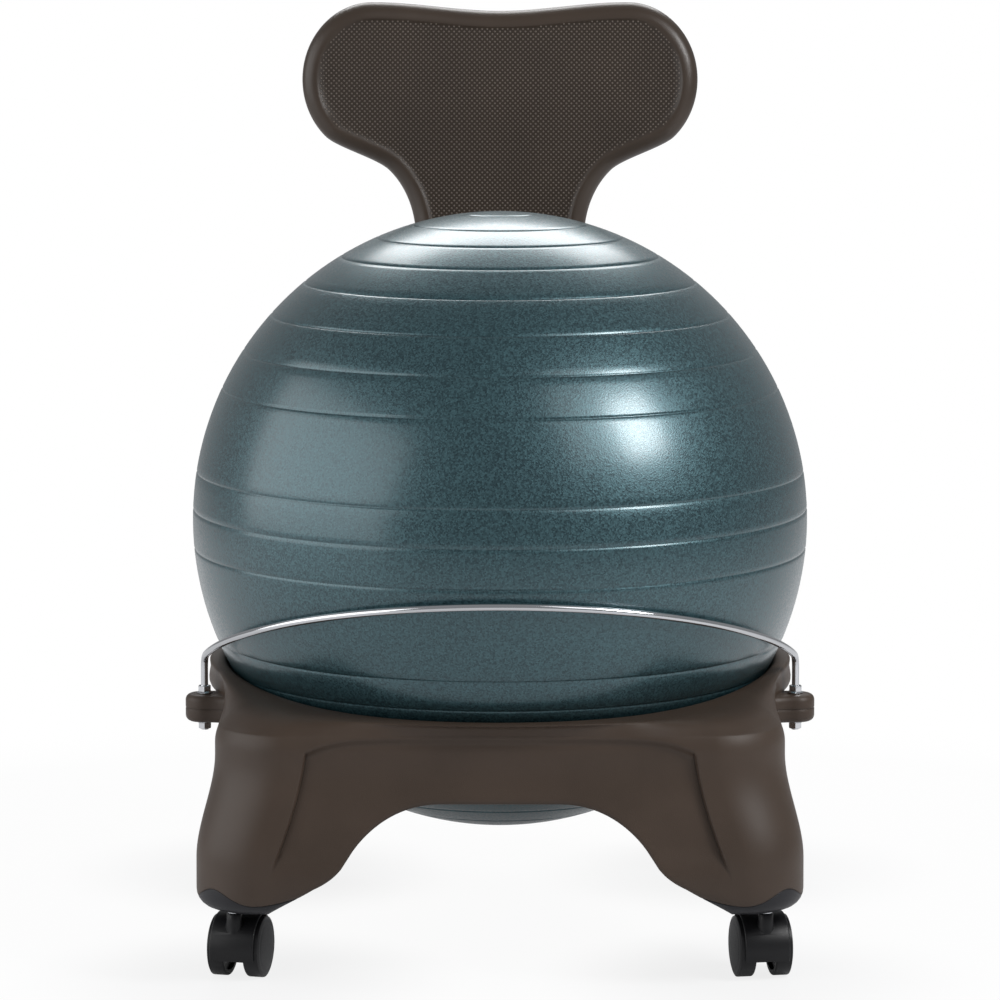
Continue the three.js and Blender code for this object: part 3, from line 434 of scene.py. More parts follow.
def fullRing(along, out, z):
    u = np.concatenate([along, out[1:-1][::-1]])
    v = np.concatenate([out, along[1:-1][::-1]])
    w = np.concatenate([z, z[1:-1][::-1]])
    turns = ((1, 0), (0, 1), (-1, 0), (0, -1))
    return np.concatenate([np.stack([v * c - u * n, v * n + u * c, w], axis=1) for c, n in turns])


def rimHeight(points, s):
    back = points[:, 1] / np.hypot(points[:, 0], points[:, 1])
    front = mix(s["rimFront"], s["rimSide"], smooth(clamp01(1 + back)))
    rear = mix(s["rimSide"], s["rimRear"], smooth(clamp01(back)))
    return np.where(back < 0, front, rear)


def atRadius(ring, radius, z):
    scale = radius / np.hypot(ring[:, 0], ring[:, 1])
    return np.stack([ring[:, 0] * scale, ring[:, 1] * scale, z * np.ones(len(ring))], axis=1)


def splined(rings, steps):
    made = []
    padded = [2 * rings[0] - rings[1], *rings, 2 * rings[-1] - rings[-2]]
    for i in range(1, len(padded) - 2):
        a, b, c, d = padded[i - 1:i + 3]
        for k in range(steps):
            t = k / steps
            bend = (2 * a - 5 * b + 4 * c - d) * t ** 2 + (3 * b - a - 3 * c + d) * t ** 3
            made.append(0.5 * (2 * b + (c - a) * t + bend))
    return made + [rings[-1]]


def sunkShare(z, s):
    along = np.array([t if zone == "apron" else 1.0 for zone, t in halfColumns])
    ledge = s["lipBottom"] - s["ledgeDrop"] * along ** s["ledgePower"]
    up = (z - (s["creaseBottom"] - s["creaseWidth"])) / (s["apronTop"] - s["creaseBottom"] + s["creaseWidth"])
    return smooth(clamp01(up / s["sinkShare"])) * smooth(clamp01((ledge - z) / s["ledgeFade"]))


def settledEdge(inset, lift, s):
    z = s["foot"] * np.ones(len(halfColumns))
    for _ in range(12):
        along, out = halfFace(z, inset, sunkShare(z, s), s)
        z = undersideAt(along, out) + lift
    return along, out, z


def wallRings(s):
    none = np.zeros(len(halfColumns))
    wallFoot = settledEdge(none, 0, s)[2]
    rounding = mix(s["footRound"], s["archRound"], smooth(clamp01((wallFoot - s["foot"]) / s["archRise"])))
    turns = np.linspace(0, pi / 2, 7)
    edges = [settledEdge(rounding * (1 - sin(a)), rounding * (1 - cos(a)), s) for a in turns]
    rings = [fullRing(*edge) for edge in edges]
    for t in np.concatenate([np.linspace(0, s["fineFrom"], 27)[1:], np.linspace(s["fineFrom"], 1, 17)[1:]]):
        z = mix(edges[-1][2], s["lipBottom"], t)
        bent = s["shoulder"] * clamp01((z - s["shoulderFrom"]) / (s["lipBottom"] - s["shoulderFrom"])) ** 2
        rings.append(fullRing(*halfFace(z, bent, sunkShare(z, s), s), z))
    return rings


def baseRings(s):
    def ballReach(z):
        return np.sqrt(s["cupRadius"] ** 2 - (s["ballHeight"] - z) ** 2)

    *rings, lip = wallRings(s)
    rim = rimHeight(lip, s)
    flat = np.hypot(lip[:, 0], lip[:, 1])
    least = ballReach(rim) + s["lip"] + s["swell"] * (1 - np.abs(lip[:, 1]) / flat)
    crest = [lip]
    for share, fall in s["lipCurve"]:
        radius = np.maximum(mix(flat, s["rimRadius"], share), least)
        crest.append(atRadius(lip, radius, mix(rim, s["lipBottom"], fall)))
    crest.append(atRadius(lip, ballReach(rim) + s["lip"], rim))
    rings += splined(crest, 5)
    rings += [atRadius(lip, ballReach(rim - fall) + out, rim - fall) for out, fall in s["innerLip"]]
    cupTop, cupEnd = rim - s["innerLip"][-1][1], s["ballHeight"] - sqrt(s["cupRadius"] ** 2 - s["well"] ** 2)
    for t in np.linspace(0.08, 1, 9):
        z = mix(cupTop, cupEnd, t)
        rings.append(atRadius(lip, ballReach(z), z))
    well = atRadius(lip, s["well"], rim)
    wellFoot = undersideAt(well[:, 0], well[:, 1]) + s["archRound"]
    rings += [atRadius(lip, s["well"], mix(cupEnd, wellFoot, t)) for t in s["wellSteps"]]
    for angle in np.linspace(pi / 2, 0, 6)[1:]:
        ring = atRadius(lip, s["well"] + s["archRound"] * (1 - sin(angle)), rim)
        ring[:, 2] = undersideAt(ring[:, 0], ring[:, 1]) + s["archRound"] * (1 - cos(angle))
        rings.append(ring)
    first, last = rings[0], rings[-1]
    for t in np.linspace(0, 1, 9)[1:-1]:
        ring = mix(last, first, t)
        ring[:, 2] = undersideAt(ring[:, 0], ring[:, 1])
        rings.append(ring)
    return rings


def offsetLoop(loop, distance):
    def unit(v):
        return v / np.linalg.norm(v, axis=1)[:, None]

    tangent = unit(unit(np.roll(loop, -1, 0) - loop) + unit(loop - np.roll(loop, 1, 0)))
    return loop + np.stack([tangent[:, 1], -tangent[:, 0]], axis=1) * distance


def roundedPrism(name, loop, layers, material):
    loop = np.asarray(loop, dtype=float)
    ahead = np.roll(loop, -1, 0)
    if np.sum(loop[:, 0] * ahead[:, 1] - ahead[:, 0] * loop[:, 1]) < 0:
        loop = loop[::-1]
    rings = [np.column_stack([offsetLoop(loop, grow), np.full(len(loop), z)]) for z, grow in layers]
    return newPiece(name, np.concatenate(rings), cappedTube(len(rings), len(loop)), material)


def edgeLayers(bottom, top, bottomRound, topRound, steps=5):
    angles = [pi / 2 * k / steps for k in range(steps + 1)]
    low = [(bottom + bottomRound * (1 - cos(a)), -bottomRound * (1 - sin(a))) for a in angles]
    return low + [(top - topRound * (1 - sin(a)), -topRound * (1 - cos(a))) for a in angles]


housingSettings = {"half": 85.3, "arc": 240.0, "back": 304.3, "corner": 16.0, "bottom": 153.0, "top": 242.0,
                   "bottomRound": 6.0, "topRound": 2.5}


def socketHousing(s):
    start, radius = acos(s["half"] / s["arc"]), s["corner"]
    loop = arcPoints(0, 0, s["arc"], pi - start, start, 30)
    loop += arcPoints(s["half"] - radius, s["back"] - radius, radius, 0, pi / 2, 10)
    loop += arcPoints(radius - s["half"], s["back"] - radius, radius, pi / 2, pi, 10)
    layers = edgeLayers(s["bottom"], s["top"], s["bottomRound"], s["topRound"])
    return roundedPrism("housing", loop, layers, basePlastic)


earSettings = {"x": 248.0, "y": -60.0, "radius": 16.0, "root": 24.0, "flare": 8.0, "flarePower": 2.5,
               "bottom": 188.0, "top": 211.0, "round": 5.0, "seam": 0.5, "seamHalf": 0.7, "seamFloor": 0.25}


def barEar(side, s):
    loop = arcPoints(0, 0, s["radius"], -pi / 2, pi / 2, 24)
    flare = [(t, s["radius"] + s["flare"] * t ** s["flarePower"]) for t in np.linspace(0.1, 1, 10)]
    loop += [(-s["root"] * t, half) for t, half in flare]
    loop += [(-s["root"] * t, -half) for t, half in flare[::-1]]
    loop = [(side * (x + s["x"]), y + s["y"]) for x, y in loop]
    layers = edgeLayers(s["bottom"], s["top"], s["round"], s["round"])
    middle, wide, floor = (s["bottom"] + s["top"]) / 2, s["seamHalf"], s["seamFloor"]
    seam = [(middle + lift, sunk) for lift, sunk in (
        (-wide, 0), (-floor, -s["seam"]), (floor, -s["seam"]), (wide, 0))]
    half = len(layers) // 2
    return roundedPrism("ear", loop, layers[:half] + seam + layers[half:], basePlastic)


def capLine(offset, s):
    away = np.abs(offset)
    near = mix(s["capPeak"], s["capDip"], smooth(clamp01(away / s["capDipOffset"])))
    beyond = clamp01((away - s["capDipOffset"]) / (s["capEndOffset"] - s["capDipOffset"]))
    return np.where(away < s["capDipOffset"], near, mix(s["capDip"], s["capEnd"], smooth(beyond)))


def capCutter(quarter, lift, s):
    offsets = np.linspace(-s["capEndOffset"], s["capEndOffset"], 81)
    below = s["foot"] - s["cutterOverrun"]
    loop = list(zip(offsets, capLine(offsets, s) + lift))
    loop += [(s["capEndOffset"], below), (-s["capEndOffset"], below)]
    turn = pi / 4 + quarter * pi / 2
    along, across = np.array([sin(turn), -cos(turn)]), np.array([cos(turn), sin(turn)])
    reaches = s["capInner"] * sqrt(2), (s["footHalf"] + s["cutterOverrun"]) * sqrt(2)
    verts = [(*(along * reach + across * offset), height) for reach in reaches for offset, height in loop]
    return newPiece("capCutter", verts, cappedTube(2, len(loop), False), capPlastic)


capQuarters = {"front_right": 0, "rear_right": 1, "rear_left": 2, "front_left": 3}


def addBase(s, slot):
    rings = baseRings(s)
    faces = gridFaces(len(rings), len(rings[0]), True, True)
    shell = newPiece("seatBase", np.concatenate(rings), faces, basePlastic)
    for part in (socketHousing(housingSettings), barEar(1, earSettings), barEar(-1, earSettings)):
        cutWith(shell, part, "UNION")
    cutWith(shell, slot)
    for corner, quarter in capQuarters.items():
        cap = newObject("footCap_" + corner, shell.data.copy())
        cutWith(cap, capCutter(quarter, -s["capGap"] / 2, s), "INTERSECT")
        cutWith(shell, capCutter(quarter, s["capGap"] / 2, s))
        dressPiece(cap, capPlastic)
        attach(cap, "base")
        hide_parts("foot_cap_" + corner)
    dressPiece(shell, basePlastic)
    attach(shell, "base")
    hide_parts("seat_base")
    print("base made,", len(shell.data.polygons), "faces")


# Back support: a rolled border round a slightly sunk panel, and a stem in the socket

backSettings = {
    "front": 266.0, "thickness": 29.0, "top": 778.0, "lobeHalf": 63.0, "lobeUp": 69.0, "lobeX": 114.5,
    "neckHalf": 76.0, "curveWidth": 60.0, "curveUp": 77.0, "neckTop": 566.0, "join": 15.0, "dip": 8.0,
    "wrap": 12.0, "lean": 14.0, "leanFrom": 351.0, "edge": 14.0, "rollReach": 16.2, "border": 13.5,
    "step": 3.0, "sunk": 1.6, "panelBottom": 486.0, "stemBottom": 162.0, "stemFit": 0.3, "slotTop": 247.0,
}


def neckLine(z, s):
    share = clamp01((z - s["neckTop"]) / s["curveUp"])
    return s["neckHalf"] + s["curveWidth"] * (1 - np.sqrt(1 - share ** 2))


def lobeLine(z, s):
    share = (z - s["top"] + s["lobeUp"]) / s["lobeUp"]
    return s["lobeX"] + s["lobeHalf"] * np.sqrt(clamp01(1 - share ** 2))


def backHalf(z, s):
    knot, small = s["neckTop"] + s["curveUp"], 0.01
    low, high = knot - s["join"], knot + s["join"]
    run, t = high - low, clamp01((z - low) / (high - low))
    start, end = neckLine(low, s), lobeLine(high, s)
    leaving, arriving = (start - neckLine(low - small, s)) / small, (lobeLine(high + small, s) - end) / small
    bend = mix(start, end, smooth(t)) + run * t * (1 - t) * ((1 - t) * leaving - t * arriving)
    return np.where(z <= low, neckLine(z, s), np.where(z >= high, lobeLine(z, s), bend))


def backDip(x, z, s):
    up = clamp01((z - s["top"] + s["lobeUp"]) / s["lobeUp"])
    return s["dip"] * up ** 2 * (1 - smooth(clamp01(np.abs(x) / s["lobeX"])))


def backEdgeLine(s):
    z = mix(s["neckTop"], s["top"], np.sin(np.linspace(0, pi / 2, 300)))
    x = np.linspace(s["lobeX"], 0, 120)
    over = np.stack([x, s["top"] - backDip(x, s["top"], s)], axis=1)
    return np.concatenate([np.stack([backHalf(z, s), z], axis=1), over[1:]])


def edgeDistance(x, z, s):
    line = backEdgeLine(s)
    here = np.stack([np.abs(np.ravel(x)), np.ravel(z)], axis=1)
    nearest = np.full(len(here), np.inf)
    for start, run in zip(line[:-1], line[1:] - line[:-1]):
        t = clamp01(((here - start) @ run) / np.sum(run ** 2))
        gap = here - start - t[:, None] * run
        nearest = np.minimum(nearest, np.hypot(gap[:, 0], gap[:, 1]))
    return np.where(here[:, 1] < s["neckTop"], s["neckHalf"] - here[:, 0], nearest).reshape(np.shape(x))


def backMiddle(x, z, s):
    lean = s["lean"] * np.maximum(0, (z - s["leanFrom"]) / (s["top"] - s["leanFrom"]))
    return s["front"] + s["thickness"] / 2 + lean - s["wrap"] * (x / (s["lobeX"] + s["lobeHalf"])) ** 2


def rolled(distance, s):
    share = clamp01(distance / s["edge"])
    return s["thickness"] / 2 * np.sqrt(np.maximum(0, 1 - (1 - share) ** 2))


def stemSlot(s):
    shares = np.concatenate([
        np.linspace(-1, -0.8, 14), np.linspace(-0.8, 0.8, 9)[1:-1], np.linspace(0.8, 1, 14)])
    x = shares * s["neckHalf"]
    middle, half = backMiddle(x, s["stemBottom"], s), rolled(s["neckHalf"] - np.abs(x), s) + s["stemFit"]
    grown = x * (1 + s["stemFit"] / s["neckHalf"])
    loop = list(zip(grown, middle - half)) + list(zip(grown[::-1], (middle + half)[::-1]))
    layers = [(s["stemBottom"] - s["stemFit"], 0), (s["slotTop"], 0)]
    return roundedPrism("stemSlot", loop, layers, basePlastic)


def keepEdgeDistance(mesh, s):
    points = np.array([v.co[:] for v in mesh.vertices]) / millimetre
    values = edgeDistance(points[:, 0], points[:, 2], s)
    attribute = mesh.attributes.new("edgeDistance", "FLOAT", "POINT")
    attribute.data.foreach_set("value", values.astype(np.float32))


def addBackSupport(s):
    lower = np.linspace(s["stemBottom"], s["neckTop"], 70)[:-1]
    curve = s["neckTop"] + s["curveUp"] * np.sin(np.linspace(0, pi / 2, 40))[:-1]
    lobe = mix(s["neckTop"] + s["curveUp"], s["top"], 0.5 - 0.5 * np.cos(np.linspace(0, pi, 90)))
    z = np.concatenate([lower, curve, lobe])
    half = backHalf(z, s)
    half[-1] = s["lobeX"]
    right = [half - s["rollReach"] * (1 - cos(a)) for a in np.linspace(pi / 2, 0, 16)]
    columns = [right[0] * t for t in np.linspace(0, 1, 26)[:-1]] + right
    x = np.stack([-c for c in columns[1:]][::-1] + columns, axis=1)
    level = np.repeat(z[:, None], x.shape[1], axis=1)
    height = level - backDip(x, level, s)
    distance = edgeDistance(x, height, s)
    distance[:, 0] = distance[:, -1] = 0
    distance[-1, :] = 0
    middle, roll = backMiddle(x, level, s), rolled(distance, s)
    sunk = smooth(clamp01((distance - s["border"]) / s["step"]))
    sunk = sunk * clamp01((level - s["panelBottom"]) / s["border"])
    front = np.stack([x, middle - roll + s["sunk"] * sunk, height], axis=-1)
    back = np.stack([x, middle + roll, height], axis=-1)
    rows, count = x.shape
    faces = gridFaces(rows, count)
    faces += [tuple(reversed(f)) for f in gridFaces(rows, count, offset=rows * count)]
    faces += [(j, rows * count + j, rows * count + j + 1, j + 1) for j in range(count - 1)]
    verts = np.concatenate([front.reshape(-1, 3), back.reshape(-1, 3)])
    piece = newPiece("backSupport", verts, faces, backPlastic, 50)
    keepEdgeDistance(piece.data, s)
    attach(piece, "base")
    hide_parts("back_support")
    print("back support made,", len(piece.data.polygons), "faces")


addBase(baseSettings, stemSlot(backSettings))
# Paint shade onto the back's sunk panel
paintPanelShade(backPlastic, backSkinSettings, backSettings["border"], backSettings["step"])
addBackSupport(backSettings)

# Ball: a turned skin with fine moulded rings and a blind hole for the plug

ballSettings = {
    "radius": 260.0, "height": 351.0, "ringDepth": 0.66, "ringHalf": 1.9, "ringPower": 1.15,
    "ringClear": 1.15, "hole": 6.0, "holeDepth": 19.0, "sides": 168,
    "rings": [83.6, 73.6, 66.5, 59, 50.7, 42.1, 33.6, 25.5, 9.3, 2.4, -4.9, -22.5, -28.8, -37.3, -45.9, -54.2,
              -61.7, -68.8, -78.7],
}


def addBall(s):
    half = degrees(s["ringHalf"] / s["radius"])
    last = -degrees(acos(s["hole"] / s["radius"]))
    stations = set(np.round(np.linspace(last, 90, 96), 4))
    for ring in s["rings"]:
        stations = {a for a in stations if abs(a - ring) > half * s["ringClear"]}
        stations |= {round(ring + half * t, 4) for t in np.linspace(-1, 1, 9)}
    holeEnd = s["holeDepth"] - sqrt(s["radius"] ** 2 - s["hole"] ** 2)
    profile = [(0, holeEnd), (s["hole"], holeEnd)]
    for latitude in sorted(stations):
        away = min(abs(latitude - ring) for ring in s["rings"]) / half
        r = s["radius"] - s["ringDepth"] * (1 - min(1, away)) ** s["ringPower"]
        angle = radians(latitude)
        profile.append((0 if latitude > 89.99 else r * cos(angle), r * sin(angle)))
    verts, faces = turnedProfile(profile, s["sides"])
    piece = newPiece("exerciseBall", np.array(verts) + np.array([0, 0, s["height"]]), faces, ballSkin, 60)
    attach(piece, "ball")
    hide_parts("ball")
    print("ball made,", len(piece.data.polygons), "faces")


addBall(ballSettings)

# Valve plug under the ball: a dished head and a shaft with five soft ribs

plugSettings = {
    "seat": 90.8, "headRadius": 9.5, "headHeight": 1.7, "shaft": 5.7, "length": 17.0, "tip": 0.6,
    "dish": [(0, 0.7), (2.2, 0.7), (2.8, 0)], "headEdge": [(1.2, 0), (0.4, 0.3), (0, 0.9)],
    "underHead": (0.3, 0.2), "ribs": 5, "ribPitch": 2.4, "rib": [(0, 0.8), (0.5, 1.3), (0.5, 1.9), (0, 2.4)],
}


def addValvePlug(s):
    seat, low, head, shaft = s["seat"], s["seat"] - s["headHeight"], s["headRadius"], s["shaft"]
    profile = [(r, low + z) for r, z in s["dish"]] + [(head - inset, low + z) for inset, z in s["headEdge"]]
    profile += [(head - s["underHead"][0], seat - s["underHead"][1]), (shaft, seat)]
    for k in range(s["ribs"]):
        profile += [(shaft - inset, seat + s["ribPitch"] * k + z) for inset, z in s["rib"]]
    profile += [(shaft * s["tip"], seat + s["length"]), (0, seat + s["length"])]
    piece = newPiece("valvePlug", *turnedProfile(profile, 40), plugVinyl, 50)
    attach(piece, "valve_plug")
    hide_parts("valve_plug")


addValvePlug(plugSettings)

# Retaining bar: a round bar swept along its path by a node tree

barSettings = {"diameter": 6.0, "endX": 248.0, "endY": -60.0, "endZ": 180.3, "bendZ": 242.0, "frontY": -265.0,
               "frontZ": 317.0, "bend": 10.0, "sides": 28}


def barPath(s):
    run = -s["frontY"] + s["endY"]
    radius = (s["endX"] ** 2 + run ** 2) / (2 * run)
    middle = radius + s["frontY"]
    slope = (s["frontZ"] - s["bendZ"]) / run
    last = atan2(s["endX"], middle - s["endY"]) - s["bend"] / radius

    def onArc(angle):
        y = middle - radius * cos(angle)
        return np.array([radius * sin(angle), y, s["bendZ"] + (s["endY"] - y) * slope])

    def leg(side):
        corner = np.array([side * s["endX"], s["endY"], s["bendZ"]])
        low, high = corner - np.array([0, 0, s["bend"]]), onArc(side * last)
        shares = np.linspace(0, 1, 14)[:-1]
        bend = [(1 - t) ** 2 * low + 2 * t * (1 - t) * corner + t * t * high for t in shares]
        return [np.array([side * s["endX"], s["endY"], s["endZ"]])] + bend

    return leg(-1) + [onArc(a) for a in np.linspace(-last, last, 150)] + leg(1)[::-1]


def newTree(name, sizes):
    tree = bpy.data.node_groups.new(name, "GeometryNodeTree")
    tree.interface.new_socket("Geometry", in_out="INPUT", socket_type="NodeSocketGeometry")
    for label, (kind, value) in sizes.items():
        socket = tree.interface.new_socket(label, in_out="INPUT", socket_type="NodeSocket" + kind)
        if kind != "Object":
            socket.default_value = value
    tree.interface.new_socket("Geometry", in_out="OUTPUT", socket_type="NodeSocketGeometry")
    return tree, tree.nodes.new("NodeGroupInput").outputs


def grown(name, source, tree, geometry, sizes, material, sharpAngle=35):
    realized = addNode(tree, "GeometryNodeRealizeInstances", {"Geometry": geometry}).outputs["Geometry"]
    finish = addNode(tree, "GeometryNodeSetMaterial", {"Geometry": realized, "Material": material})
    addNode(tree, "NodeGroupOutput", {"Geometry": finish.outputs["Geometry"]})
    change = source.modifiers.new(name, "NODES")
    change.node_group = tree
    identifiers = {i.name: i.identifier for i in tree.interface.items_tree if i.in_out == "INPUT"}
    for label, (_, value) in sizes.items():
        change[identifiers[label]] = value
    piece = finishPiece(name, bakedMesh(source), material, sharpAngle)
    bpy.data.objects.remove(source)
    return piece


def pointsObject(name, points, edges=()):
    places = np.asarray(points, dtype=float) + np.array([0, ballAxisY, 0])
    return newObject(name, newMesh(name, places, (), edges))


def addBar(s):
    sizes = {"Bar Radius": ("Float", s["diameter"] / 2000), "Sides": ("Int", s["sides"])}
    tree, given = newTree("sweptBar", sizes)
    toCurve = addNode(tree, "GeometryNodeMeshToCurve", {"Mesh": given["Geometry"]})
    circle = addNode(tree, "GeometryNodeCurvePrimitiveCircle", {
        "Radius": given["Bar Radius"], "Resolution": given["Sides"]})
    sweep = addNode(tree, "GeometryNodeCurveToMesh", {
        "Curve": toCurve.outputs["Curve"], "Profile Curve": circle.outputs["Curve"], "Fill Caps": True})
    path = barPath(s)
    source = pointsObject("barPath", path, [(k, k + 1) for k in range(len(path) - 1)])
    piece = grown("retainingBar", source, tree, sweep.outputs["Mesh"], sizes, barChrome, 50)
    faceOut(piece.data)
    dressPiece(piece, barChrome, 50)
    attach(piece, "base")
    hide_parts("retaining_bar")
    print("bar made,", len(piece.data.polygons), "faces")


addBar(barSettings)

# Flange nuts above and under each ear: one turned and faceted nut, set on four points

nutSettings = {
    "across": 10.0, "height": 5.0, "flange": 13.4, "flangeHeight": 1.4, "bore": 6.6, "boreSoft": 0.5,
    "chamfer": 0.6, "foot": 0.3, "faceInset": 0.2, "faceRound": (0.5, 0.25), "sides": 48,
    "flangeEdge": [(0.4, 0), (0, 0.3), (0, 0.7), (0.5, 1.05)], "x": 248.0, "y": -60.0,
    "seats": (211.3, 187.7), "earMiddle": 199.5,
}


def nutMesh(s):
    low, across, foot, soft = s["flangeHeight"], s["across"], s["foot"], s["boreSoft"]
    top, flange, bore, face = low + s["height"], s["flange"] / 2, s["bore"] / 2, across / 2 - s["faceInset"]
    outline = [(bore, 0)] + [(flange - inset, z) for inset, z in s["flangeEdge"]]
    wider, lower = s["faceRound"]
    outline += [(hexRadius(across, foot), low), (hexRadius(across), low + foot),
                (hexRadius(across), top - s["chamfer"]), (hexRadius(across, 0, face + wider), top - lower),
                (face, top), (bore + soft, top), (bore, top - soft)]
    verts = [ringPoints(radius, z, s["sides"]) for radius, z in outline]
    mesh = newMesh("nutShape", verts, gridFaces(len(outline), s["sides"], True, True))
    faceOut(mesh)
    return mesh


def addNuts(s):
    shape = newObject("nutShape", nutMesh(s))
    sizes = {"Nut": ("Object", shape), "Tip Over": ("Float", pi),
             "Ear Middle": ("Float", s["earMiddle"] / 1000)}
    tree, given = newTree("nutsOnPoints", sizes)
    info = addNode(tree, "GeometryNodeObjectInfo", {"Object": given["Nut"], "As Instance": True})
    position = addNode(tree, "GeometryNodeInputPosition").outputs["Position"]
    height = addNode(tree, "ShaderNodeSeparateXYZ", {"Vector": position}).outputs["Z"]
    below = mathNode(tree, "ShaderNodeMath", "LESS_THAN", height, given["Ear Middle"])
    turn = mathNode(tree, "ShaderNodeMath", "MULTIPLY", below, given["Tip Over"])
    angles = addNode(tree, "ShaderNodeCombineXYZ", {"X": turn})
    place = addNode(tree, "GeometryNodeInstanceOnPoints", {
        "Points": given["Geometry"], "Instance": info.outputs["Geometry"],
        "Rotation": angles.outputs["Vector"]})
    source = pointsObject("nutPoints", [(side * s["x"], s["y"], z) for z in s["seats"] for side in (-1, 1)])
    piece = grown("barNuts", source, tree, place.outputs["Instances"], sizes, barChrome, 30)
    bpy.data.objects.remove(shape)
    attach(piece, "base")
    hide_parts(*[f"bar_nut_{level}_{side}" for level in ("upper", "lower")
                         for side in ("left", "right")])
    print("nuts made,", len(piece.data.polygons), "faces")


addNuts(nutSettings)

# Fine bumps on the sunk panel: a diagonal lattice thrown onto the face by a node tree

bumpSettings = {
    "pitch": 3.24, "radius": 0.95, "height": 0.65, "root": 0.3, "shoulder": (0.75, 0.7), "sides": 6,
    "edgeKeep": 15.0, "lowest": 500.0, "startY": 200.0, "rayLength": 2.0,
}


def domeShape(s):
    wide, high = s["shoulder"]
    profile = [(s["radius"], -s["root"]), (s["radius"] * wide, s["height"] * high), (0, s["height"])]
    verts, faces = turnedProfile(profile, s["sides"])
    return newObject("bumpShape", newMesh("bumpShape", verts, faces + [tuple(reversed(range(s["sides"])))]))


def namedValue(tree, name, kind):
    named = addNode(tree, "GeometryNodeInputNamedAttribute", {"Name": name}, data_type=kind)
    return named.outputs["Attribute"]


def storedValue(tree, geometry, name, kind, value):
    inputs = {"Geometry": geometry, "Name": name, "Value": value}
    store = addNode(tree, "GeometryNodeStoreNamedAttribute", inputs, data_type=kind, domain="POINT")
    return store.outputs["Geometry"]


def bumpLattice(s, back):
    reach, step = back["lobeX"] + back["lobeHalf"], s["pitch"] / sqrt(2)
    count, points = int(reach / step / 2) + 1, []
    for row in range(int((back["top"] - s["lowest"]) / step) + 1):
        shift, z = step * (row % 2), s["lowest"] + row * step
        points += [(2 * step * k + shift, s["startY"], z) for k in range(-count, count + 1)]
    return points


def addPanelBumps(s, back, panel):
    shape = domeShape(s)
    sizes = {"Bump": ("Object", shape), "Panel": ("Object", panel), "Edge Keep": ("Float", s["edgeKeep"])}
    tree, given = newTree("panelBumps", sizes)
    bump = addNode(tree, "GeometryNodeObjectInfo", {"Object": given["Bump"], "As Instance": True})
    target = addNode(tree, "GeometryNodeObjectInfo", {"Object": given["Panel"]}).outputs["Geometry"]
    ray = addNode(tree, "GeometryNodeRaycast", {
        "Target Geometry": target, "Attribute": namedValue(tree, "edgeDistance", "FLOAT"),
        "Ray Direction": (0, 1, 0), "Ray Length": s["rayLength"]}, data_type="FLOAT").outputs
    near = addNode(tree, "FunctionNodeCompare", {"A": ray["Attribute"], "B": given["Edge Keep"]},
                   data_type="FLOAT", operation="LESS_THAN").outputs["Result"]
    missed = mathNode(tree, "FunctionNodeBooleanMath", "NOT", ray["Is Hit"])
    outside = mathNode(tree, "FunctionNodeBooleanMath", "OR", missed, near)
    marked = storedValue(tree, given["Geometry"], "facing", "FLOAT_VECTOR", ray["Hit Normal"])
    marked = storedValue(tree, marked, "outside", "BOOLEAN", outside)
    move = addNode(tree, "GeometryNodeSetPosition", {"Geometry": marked, "Position": ray["Hit Position"]})
    unwanted = {"Geometry": move.outputs["Geometry"], "Selection": namedValue(tree, "outside", "BOOLEAN")}
    remove = addNode(tree, "GeometryNodeDeleteGeometry", unwanted, domain="POINT")
    align = addNode(tree, "FunctionNodeAlignRotationToVector", {
        "Vector": namedValue(tree, "facing", "FLOAT_VECTOR")}, axis="Z")
    place = addNode(tree, "GeometryNodeInstanceOnPoints", {
        "Points": remove.outputs["Geometry"], "Instance": bump.outputs["Geometry"],
        "Rotation": align.outputs["Rotation"]})
    source = pointsObject("bumpLattice", bumpLattice(s, back))
    # The bumps wear the lighter plastic, a painted highlight on their tops
    piece = grown("panelBumps", source, tree, place.outputs["Instances"], sizes, bumpHighlightPlastic, 180)
    bpy.data.objects.remove(shape)
    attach(piece, "base")
    print("panel bumps made,", len(piece.data.polygons), "faces")


addPanelBumps(bumpSettings, backSettings, bpy.data.objects["backSupport"])

# Screws and washers behind the socket

screwSettings = {
    "x": 42.0, "z": 198.0, "seat": 304.6, "washer": 20.0, "washerThick": 1.6, "shank": 8.0, "reach": 30.0,
    "head": 14.0, "headHeight": 5.5, "fit": 0.3, "soft": 0.3, "topSoft": 0.35, "key": 5.0, "keyDepth": 2.8,
    "keySoft": 0.5, "chamfer": 1.2, "washerSoft": 0.4, "sides": 48,
}


def screwShape(s):
    low, soft, cut = s["washerThick"] + s["fit"], s["soft"], s["chamfer"]
    top, head, shank, edge = low + s["headHeight"], s["head"] / 2, s["shank"] / 2, s["topSoft"]
    outline = [(shank - cut, -s["reach"]), (shank, cut - s["reach"]), (shank, low), (head - soft, low),
               (head, low + soft), (head, top - cut), (head - edge, top - edge), (head - cut, top)]
    for grow, fall in ((s["keySoft"], 0), (0, s["keySoft"]), (0, s["keyDepth"])):
        outline.append((hexRadius(s["key"], grow), top - fall))
    return [ringPoints(radius, z, s["sides"]) for radius, z in outline], cappedTube(len(outline), s["sides"])


def washerShape(s):
    wide, hole, thick, soft = s["washer"] / 2, s["shank"] / 2 + s["fit"], s["washerThick"], s["soft"]
    outline = [(hole, 0), (wide - soft, 0), (wide, soft), (wide, thick - s["washerSoft"]),
               (wide - s["washerSoft"], thick), (hole, thick)]
    rings = [ringPoints(radius, z, s["sides"]) for radius, z in outline]
    return rings, gridFaces(len(outline), s["sides"], True, True)


